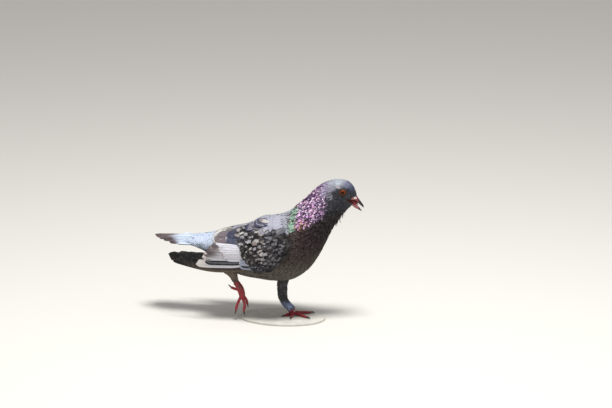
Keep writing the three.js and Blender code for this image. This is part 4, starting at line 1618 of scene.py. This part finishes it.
# ---------- bill, cere, mouth and eyes ----------
@dataclass
class Bill:
    """The two halves of the bill, the cere over the nostrils, the mouth's lining and the tongue."""

    around: int = 40
    lobe_at: tuple[float, float, float] = (87.8, 2.9, 173.0)  # the middle of the left lobe of the cere
    lobe: tuple[float, float, float] = (4.4, 2.8, 1.9)  # its half length, half width and half height
    pitch: float = 30.0
    roll: float = 12.0

    def half(self, name: str, form: Profile, node: str, finish: Material) -> None:
        """Makes one half of the bill from its profile."""
        bm = form.form(40, self.around)
        soften(bm, 0.3)
        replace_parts(SHOP.object(name, bm, finish, "bill_horn"), node)

    def cere(self, finish: Material) -> None:
        """Makes the cere: two swollen lobes side by side."""
        bm = bmesh.new()
        x, y, z = self.lobe_at
        for side in (1, -1):
            made = bmesh.ops.create_uvsphere(bm, u_segments=36, v_segments=24, radius=1.0)["verts"]
            roll = Matrix.Rotation(radians(-self.roll * side), 4, "X")
            turn = roll @ Matrix.Rotation(radians(self.pitch), 4, "Y")
            place = Matrix.Translation((x, side * y, z)) @ turn @ Matrix.Diagonal((*self.lobe, 1))
            bmesh.ops.transform(bm, matrix=place, verts=made)
        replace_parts(SHOP.object("cere_lobes", bm, finish, "cere_skin"), "cere")

    def build(self, upper: Material, lower: Material, skin: Material, flesh: Material) -> None:
        """Makes the bill's pieces.

        Args:
            upper: The finish of the upper half.
            lower: The finish of the lower half.
            skin: The cere's.
            flesh: The finish of the tongue and the mouth's lining.
        """
        self.half("beak_upper", UPPER_BILL, "bill_upper", upper)
        self.half("beak_lower", LOWER_BILL, "bill_lower", lower)
        self.cere(skin)
        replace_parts(SHOP.object("tongue_flesh", TONGUE.form(20, 20), flesh, "mouth_lining"), "tongue")
        SHOP.object("gape_flesh", GAPE.form(24, 24), flesh, "mouth_lining")


@dataclass
class Eye:
    """One eye: the ball with its iris and pupil, and the ring of bare skin round it."""

    side: str
    opening: float = 4.7  # radius of the ring
    lid: float = 0.62  # and of its roll of skin
    forward: float = 8.0  # how far the eye is turned forwards, in degrees

    def build(self, ball: Material, rim: Material) -> None:
        """Makes the ball, marked with the angle from its axis, and its rim."""
        way = 1 if self.side == "left" else -1
        x, y, z = EYE_AT
        ahead = Matrix.Rotation(radians(-self.forward * way), 4, "Z")
        aside = Matrix.Rotation(radians(-90 * way), 4, "X")
        seat = Matrix.Translation((x, y * way, z)) @ ahead @ aside
        bm = bmesh.new()
        bmesh.ops.create_uvsphere(bm, u_segments=64, v_segments=48, radius=EYE_RADIUS)
        layer = bm.verts.layers.float_vector.new("iris")
        for vert in bm.verts:
            r = math.hypot(vert.co.x, vert.co.y)
            vert[layer] = (r if vert.co.z > 0 else 9.0, math.atan2(vert.co.y, vert.co.x), 0)
        bmesh.ops.transform(bm, matrix=seat, verts=bm.verts[:])
        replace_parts(SHOP.object(f"eyeball_{self.side}", bm, ball, "eye_surface"), f"eye_{self.side}")
        bm = bmesh.new()
        ring = bmesh.ops.create_circle(bm, segments=14, radius=self.lid)["verts"]
        upright = Matrix.Translation((self.opening, 0, 0)) @ Matrix.Rotation(pi / 2, 4, "X")
        bmesh.ops.transform(bm, matrix=upright, verts=ring)
        spin = {"cent": (0, 0, 0), "axis": (0, 0, 1), "angle": 2 * pi, "steps": 56, "use_merge": True}
        bmesh.ops.spin(bm, geom=bm.verts[:] + bm.edges[:], **spin)
        bmesh.ops.remove_doubles(bm, verts=bm.verts[:], dist=0.001)
        bmesh.ops.recalc_face_normals(bm, faces=bm.faces[:])
        out = math.sqrt(EYE_RADIUS**2 - self.opening**2)
        bmesh.ops.transform(bm, matrix=seat @ Matrix.Translation((0, 0, out + 0.15)), verts=bm.verts[:])
        SHOP.object(f"eyelid_{self.side}", bm, rim, "cere_skin")


# ---------- finishes ----------
class Graph:
    """Writes the nodes of one material or one group."""

    def __init__(self, tree: NodeTree) -> None:
        """Starts on a tree."""
        self.tree = tree

    def feed(self, socket: NodeSocket, value: object) -> None:
        """Gives a socket a value, or another socket to read."""
        if isinstance(value, NodeSocket):
            self.tree.links.new(value, socket)
        else:
            socket.default_value = value

    def add(self, kind: str, ins: dict | None = None, **settings: object) -> Node:
        """Adds a node.

        Args:
            kind: Its type.
            ins: What goes into its inputs, by name or number: a value, or a socket to link from.
            settings: Its own settings.
        Returns:
            The node.
        """
        node = self.tree.nodes.new(kind)
        for key, value in settings.items():
            setattr(node, key, value)
        for key, value in (ins or {}).items():
            self.feed(node.inputs[key], value)
        return node

    def math(self, op: str, a: object, b: object = 0.0, clamp: bool = False) -> NodeSocket:
        """Adds a sum of two numbers, and gives its result."""
        return self.add("ShaderNodeMath", {0: a, 1: b}, operation=op, use_clamp=clamp).outputs[0]

    def plus(self, a: object, b: object) -> NodeSocket:
        """Adds two numbers."""
        return self.math("ADD", a, b)

    def minus(self, a: object, b: object) -> NodeSocket:
        """Takes a number from another."""
        return self.math("SUBTRACT", a, b)

    def times(self, a: object, b: object) -> NodeSocket:
        """Multiplies two numbers."""
        return self.math("MULTIPLY", a, b)

    def ramp(self, value: object, low: object, high: object, to: Pair = (0.0, 1.0)) -> NodeSocket:
        """Adds a smooth step from low to high, and gives its result."""
        ins = {"Value": value, "From Min": low, "From Max": high, "To Min": to[0], "To Max": to[1]}
        return self.add("ShaderNodeMapRange", ins, interpolation_type="SMOOTHSTEP").outputs[0]

    def blend(self, a: object, b: object, t: object) -> NodeSocket:
        """Adds a mix of two colours, each written or read from a socket, and gives its result."""
        node = self.add("ShaderNodeMix", {0: t}, data_type="RGBA")
        for socket, value in ((node.inputs[6], a), (node.inputs[7], b)):
            self.feed(socket, paint(value) if isinstance(value, str) else value)
        return node.outputs[2]

    def parts(self, vector: NodeSocket) -> list[NodeSocket]:
        """Reads the three parts of a vector."""
        return self.add("ShaderNodeSeparateXYZ", {0: vector}).outputs

    def mark(self, name: str, out: str = "Vector") -> NodeSocket:
        """Reads one of the piece's own marks."""
        return self.add("ShaderNodeAttribute", attribute_name=name).outputs[out]

    def place(self) -> NodeSocket:
        """Reads where on the piece a point is."""
        return self.add("ShaderNodeTexCoord").outputs["Object"]

    def noise(self, scale: float, detail: float = 3.0, rough: float = 0.55) -> NodeSocket:
        """Reads a noise over the piece, and gives its value."""
        ins = {"Vector": self.place(), "Scale": scale, "Detail": detail, "Roughness": rough}
        return self.add("ShaderNodeTexNoise", ins).outputs[0]


def paint(code: str) -> tuple[float, float, float, float]:
    """Gives a written colour as a shader's socket takes it."""
    return (*rgb(code).tolist(), 1.0)


def vane_group() -> NodeTree:
    """Makes the pattern of one feather: its fringe, its spot, its barbs and its shaft."""
    tree = bpy.data.node_groups.new("vane_pattern", "ShaderNodeTree")
    kinds = {"Color": ("Tint", "Trim"), "Vector": ("Vane", "Size", "Gloss"), "Float": PlumageFinish.KNOBS}
    for kind, labels in kinds.items():
        for label in labels:
            tree.interface.new_socket(label, in_out="INPUT", socket_type=f"NodeSocket{kind}")
    for label, kind in (("Colour", "Color"), ("Height", "Float"), ("Glitter", "Float")):
        tree.interface.new_socket(label, in_out="OUTPUT", socket_type=f"NodeSocket{kind}")
    g = Graph(tree)
    i, o = g.add("NodeGroupInput").outputs, g.add("NodeGroupOutput").inputs
    along, aside, chance = g.parts(i["Vane"])
    length, half, fringe = g.parts(i["Size"])
    glitter, side, size = g.parts(i["Gloss"])
    out = g.math("ABSOLUTE", aside)
    # the fringe, with a ragged edge
    wobble = g.times(g.minus(g.noise(900.0), 0.5), i["Ragged"])
    edge = g.plus(g.math("MAXIMUM", along, g.times(out, side)), wobble)
    start = g.minus(1.0, fringe)
    soft = g.times(i["Soft"], g.plus(g.times(fringe, 2.0), 0.3))
    tip = g.ramp(edge, start, g.plus(start, soft))
    # one uneven spot near the tip, off to one side
    off = g.minus(aside, g.times(g.minus(chance, 0.5), 1.1))
    down = g.math("DIVIDE", g.minus(along, 0.80), 0.30)
    far = g.math("SQRT", g.plus(g.math("POWER", g.times(off, 2.3), 2.0), g.math("POWER", down, 2.0)))
    blot = g.times(g.minus(g.noise(270.0, 2.0), 0.5), i["Blot"])
    far = g.minus(g.plus(far, blot), size)
    spotted = g.math("MINIMUM", g.times(size, 10.0), 1.0)
    spot_mask = g.times(g.ramp(far, 0.26, -0.34), spotted)
    colour = g.blend(i["Tint"], i["Trim"], g.math("MAXIMUM", tip, spot_mask, True))
    cloud = g.times(g.ramp(g.noise(200.0), 0.46, 0.66, (0.0, 0.34)), spotted)
    colour = g.blend(colour, (0.10, 0.091, 0.092, 1), cloud)
    # the barbs, the pale bloom, the painted shade on the rims and the shaft
    run = g.plus(g.times(along, length), g.times(g.times(out, half), -0.9))
    phase = g.times(g.math("DIVIDE", run, i["Pitch"]), 2 * pi)
    wave = g.math("SINE", g.plus(phase, g.times(chance, 40.0)))
    colour = g.blend(colour, (0, 0, 0, 1), g.times(g.plus(wave, 1.0), 0.055))
    colour = g.blend(colour, (1, 1, 1, 1), g.ramp(g.noise(260.0), 0.45, 0.8, (0.0, 0.05)))
    # painted shade on the rims of the vanes, where they overlap
    colour = g.blend(colour, (0.012, 0.011, 0.012, 1), g.times(g.ramp(out, 0.80, 1.0), i["Edge"]))
    shaft = g.times(g.ramp(out, 0.10, 0.04), i["Shaft"])
    g.feed(o["Colour"], g.blend(colour, (0.01, 0.009, 0.009, 1), shaft))
    g.feed(o["Height"], g.plus(g.times(wave, 0.5), shaft))
    g.feed(o["Glitter"], glitter)
    return tree


class Finishing(Graph):
    """Writes a material with one principled shader."""

    def __init__(self, name: str, **sockets: object) -> None:
        """Starts it.

        Args:
            name: The material's name.
            sockets: What the shader's own sockets are set to, by name with underscores for spaces.
        """
        self.material = bpy.data.materials.new(name)
        self.material.use_nodes = True
        self.material.node_tree.nodes.clear()
        super().__init__(self.material.node_tree)
        told = {key.replace("_", " "): value for key, value in sockets.items()}
        self.shader = self.add("ShaderNodeBsdfPrincipled", told)
        self.add("ShaderNodeOutputMaterial", {"Surface": self.shader.outputs[0]})

    def close(
        self, colour: object, height: object = None, strength: float = 0.0, depth: float = 0.2
    ) -> Material:
        """Finishes it.

        Args:
            colour: Its colour.
            height: The relief's height, or nothing where it is smooth.
            strength: How strong the relief is.
            depth: How deep it is, in mm.
        Returns:
            The material.
        """
        self.feed(self.shader.inputs["Base Color"], colour)
        if height is not None:
            ins = {"Height": height, "Strength": strength, "Distance": depth * MM}
            self.feed(self.shader.inputs["Normal"], self.add("ShaderNodeBump", ins).outputs[0])
        return self.material


@dataclass(frozen=True)
class PlumageFinish:
    """Feathers: each shows its own colours, barbs and shaft, and glitters where it is marked to."""

    name: str
    pitch: float  # mm from barb to barb, as drawn
    shaft: float
    ragged: float = 0.22  # how uneven the edges of the markings are
    # edge: how strong the painted shade on the rims of the vanes is
    edge: float = 0.0  # how dark the rims of the vanes are
    soft: float = 0.14  # how softly the fringe begins
    blot: float = 2.4  # how uneven the spots are
    relief: float = 0.3
    rough: float = 0.74

    KNOBS = ("Pitch", "Shaft", "Ragged", "Edge", "Soft", "Blot")

    def make(self, pattern: NodeTree) -> Material:
        """Makes the material."""
        g = Finishing(self.name, Specular_IOR_Level=0.22)
        told = {"Tint": g.mark("tint", "Color"), "Trim": g.mark("trim", "Color")}
        told |= {label: g.mark(label.lower()) for label in ("Vane", "Size", "Gloss")}
        told |= {label: getattr(self, label.lower()) for label in self.KNOBS}
        outs = g.add("ShaderNodeGroup", told, node_tree=pattern).outputs
        g.feed(g.shader.inputs["Roughness"], g.ramp(outs["Glitter"], 0.0, 1.0, (self.rough, 0.38)))
        g.feed(g.shader.inputs["Metallic"], g.times(outs["Glitter"], 0.5))
        return g.close(outs["Colour"], outs["Height"], self.relief, 0.12)


@dataclass(frozen=True)
class SkinFinish:
    """Skin: the marked colour, mottled, with fine relief. Scales are drawn where they are asked for."""

    name: str
    rough: float
    scale: float
    relief: float
    cells: bool = False

    def make(self) -> Material:
        """Makes the material."""
        g = Finishing(self.name, Specular_IOR_Level=0.4, Roughness=self.rough)
        tint = g.mark("tint", "Color")
        colour = g.blend(tint, (0.02, 0.012, 0.012, 1), g.ramp(g.noise(self.scale), 0.4, 0.75, (0.0, 0.3)))
        height = g.noise(self.scale * 3)
        if self.cells:
            stretch = g.add("ShaderNodeMapping", {"Vector": g.place(), "Scale": (1.0, 0.7, 1.5)}).outputs[0]
            ins = {"Vector": stretch, "Scale": 640.0}
            cell = g.add("ShaderNodeTexVoronoi", ins, feature="DISTANCE_TO_EDGE").outputs[0]
            height = g.ramp(cell, 0.0, 0.22)
            colour = g.blend(colour, "6b2a28", g.ramp(cell, 0.12, 0.0, (0.0, 0.55)))
        return g.close(colour, height, self.relief)


@dataclass(frozen=True)
class EyeFinish:
    """The eye: an orange iris with fine rays, a dark rim and a black pupil, under a thin wet coat."""

    iris: str = "672c12"
    inner: str = "864417"
    pupil: float = 1.8  # its radius, in mm
    rays: float = 46.0

    def make(self) -> Material:
        """Makes the material."""
        wet = {"Coat_Weight": 0.07, "Coat_Roughness": 0.12}
        g = Finishing("eye_surface", Roughness=0.4, Specular_IOR_Level=0.08, **wet)
        radius, angle, _ = g.parts(g.mark("iris"))
        rays = g.math("SINE", g.times(angle, self.rays))
        colour = g.blend(self.iris, self.inner, g.ramp(radius, 3.4, 1.6))
        colour = g.blend(colour, (0.05, 0.012, 0.004, 1), g.times(g.plus(rays, 1.0), 0.12))
        colour = g.blend(colour, (0.03, 0.012, 0.01, 1), g.ramp(radius, 3.7, 4.6))
        black = (0.003, 0.003, 0.003, 1)
        return g.close(g.blend(black, colour, g.ramp(radius, self.pupil, self.pupil + 0.35)))


@dataclass(frozen=True)
class HornFinish:
    """Horn: two colours that run into each other along the piece, with growth lines."""

    name: str
    root: str
    tip: str
    start: float  # where the tip's colour begins, in mm ahead in the bird's frame
    end: float

    def make(self) -> Material:
        """Makes the material."""
        g = Finishing(self.name, Roughness=0.42, Specular_IOR_Level=0.5)
        low, high = ((ahead + SHOP.origin[0]) * MM for ahead in (self.start, self.end))
        colour = g.blend(self.root, self.tip, g.ramp(g.parts(g.place())[0], low, high))
        grain = g.noise(1500.0, 4.0)
        colour = g.blend(colour, (0.01, 0.01, 0.012, 1), g.ramp(grain, 0.42, 0.75, (0.0, 0.35)))
        return g.close(colour, grain, 0.25, 0.15)


@dataclass(frozen=True)
class FleshFinish:
    """Bare flesh of one colour with a second in its folds: the cere, the eyelids and the mouth."""

    name: str
    light: str
    deep: str
    rough: float

    def make(self) -> Material:
        """Makes the material."""
        g = Finishing(self.name, Roughness=self.rough, Specular_IOR_Level=0.45)
        fold = g.noise(1300.0, 5.0, 0.65)
        return g.close(g.blend(self.light, self.deep, g.ramp(fold, 0.40, 0.72)), fold, 0.5)


@dataclass(frozen=True)
class BaseFinish:
    """The display base: pale matt plaster with fine grit."""

    colour: str = "c9c5bc"
    grit: str = "8f8a80"
    bloom: str = "dedbd4"

    def make(self) -> Material:
        """Makes the material."""
        g = Finishing("base_surface", Roughness=0.86, Specular_IOR_Level=0.25)
        grit = g.noise(1400.0, 4.0, 0.7)
        colour = g.blend(self.colour, self.grit, g.ramp(grit, 0.52, 0.78, (0.0, 0.7)))
        colour = g.blend(colour, self.bloom, g.ramp(g.noise(55.0, 4.0), 0.42, 0.7, (0.0, 0.55)))
        return g.close(colour, grit, 0.4)


# ---------- studio ----------
@dataclass
class Studio:
    """The floor, the soft light and the camera."""

    azimuth: float = 13.0
    elevation: float = 13.6
    lens: float = 210.0
    distance: float = 4.89
    aim: tuple[float, float] = (17.8, 151.4)  # from the standing foot to the middle of the view, in mm
    floor_half: float = 30.0
    lamp_at: tuple[float, float, float] = (0.25, -0.55, 2.1)
    lamp_size: float = 0.55
    key: float = 52.0
    fill: float = 0.44

    def camera(self) -> None:
        """Sets the camera at the bird's right side."""
        a, e = radians(self.azimuth), radians(self.elevation)
        right = Vector((math.cos(a), math.sin(a), 0))
        back = Vector((math.sin(a) * math.cos(e), -math.cos(a) * math.cos(e), math.sin(e)))
        foot = Vector(SHOP.out(np.array([0.0, FOOT_LEFT, 0.0])))
        target = foot + right * self.aim[0] * MM + back.cross(right) * self.aim[1] * MM
        data = bpy.data.cameras.new("camera")
        data.lens, data.sensor_width, data.clip_end = self.lens, 36.0, 60.0
        camera = link("camera", data)
        camera.location = target + back * self.distance
        camera.rotation_euler = (-back).to_track_quat("-Z", "Y").to_euler()
        bpy.context.scene.camera = camera

    def floor(self) -> None:
        """Makes the pale floor, large enough to fill every view."""
        bm = bmesh.new()
        bmesh.ops.create_grid(bm, x_segments=2, y_segments=2, size=self.floor_half)
        made = link("floor", settle("floor", bm))
        g = Finishing("floor", Roughness=0.9, Specular_IOR_Level=0.1)
        made.data.materials.append(g.close(paint("dcd9d3")))

    def light(self) -> None:
        """Hangs one square soft lamp over the bird, in an even pale surround."""
        data = bpy.data.lights.new("key", "AREA")
        data.shape, data.size, data.energy = "SQUARE", self.lamp_size, self.key
        lamp = link("key", data)
        lamp.location = self.lamp_at
        lamp.rotation_euler = (Vector(self.lamp_at) - Vector((0, 0, 0.1))).to_track_quat("Z", "Y").to_euler()
        world = bpy.data.worlds.new("studio")
        world.use_nodes = True
        surround = world.node_tree.nodes["Background"].inputs
        surround[0].default_value, surround[1].default_value = (1.0, 1.0, 1.0, 1.0), self.fill
        bpy.context.scene.world = world

    def build(self) -> None:
        """Sets up the studio."""
        bpy.context.scene.view_settings.view_transform = "Standard"
        self.camera()
        self.floor()
        self.light()


def main() -> None:
    """Builds the pigeon piece by piece, then the studio round it."""
    pattern = vane_group()
    small = PlumageFinish("body_plumage", 0.55, 0.0).make(pattern)
    covert = PlumageFinish("covert_plumage", 0.7, 0.35).make(pattern)
    flight = PlumageFinish("flight_plumage", 0.8, 0.3, 0.05, edge=0.45, soft=0.3).make(pattern)
    tail = PlumageFinish("tail_plumage", 0.8, 0.35, 0.08, edge=0.3, soft=0.16).make(pattern)
    skin = SkinFinish("feathered_skin", 0.8, 700.0, 0.3).make()
    bare = SkinFinish("leg_skin", 0.5, 900.0, 0.7, cells=True).make()
    lining = FleshFinish("mouth_lining", "8f2f30", "4a1416", 0.4).make()
    lids = FleshFinish("eyelid_skin", "3c3a3f", "222025", 0.7).make()
    cere = FleshFinish("cere_skin", "dccaca", "b08c8c", 0.7).make()
    upper = HornFinish("upper_bill_horn", "7a3c3d", "222022", 92.0, 95.5).make()
    lower = HornFinish("lower_bill_horn", "93585a", "2a2527", 92.0, 95.5).make()
    claw = HornFinish("claw_horn", "2d2926", "1b1816", 0.0, 1.0).make()
    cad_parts["stand_base"].data.materials.clear()
    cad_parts["stand_base"].data.materials.append(BaseFinish().make())
    Skin().build(skin, lining, bare)
    BodyCoat().build(small)
    for side, seed in (("left", 21), ("right", 51)):
        CovertCoat(side, seed).build(covert)
        FlightFeathers(side).build(flight)
    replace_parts(bpy.data.objects["coat_wing_left"], "wing_left_shoulder")
    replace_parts(bpy.data.objects["coat_wing_right"], "wing_right_shoulder")
    Tail().build(tail)
    LegCoat("left", 0.9, 61).build(small)
    LegCoat("right", 0.86, 71).build(small)
    build_claws(claw)
    Bill().build(upper, lower, cere, lining)
    eye = EyeFinish().make()
    for side in SIDES:
        Eye(side).build(eye, lids)
    Studio().build()


if __name__ == "__main__":
    main()
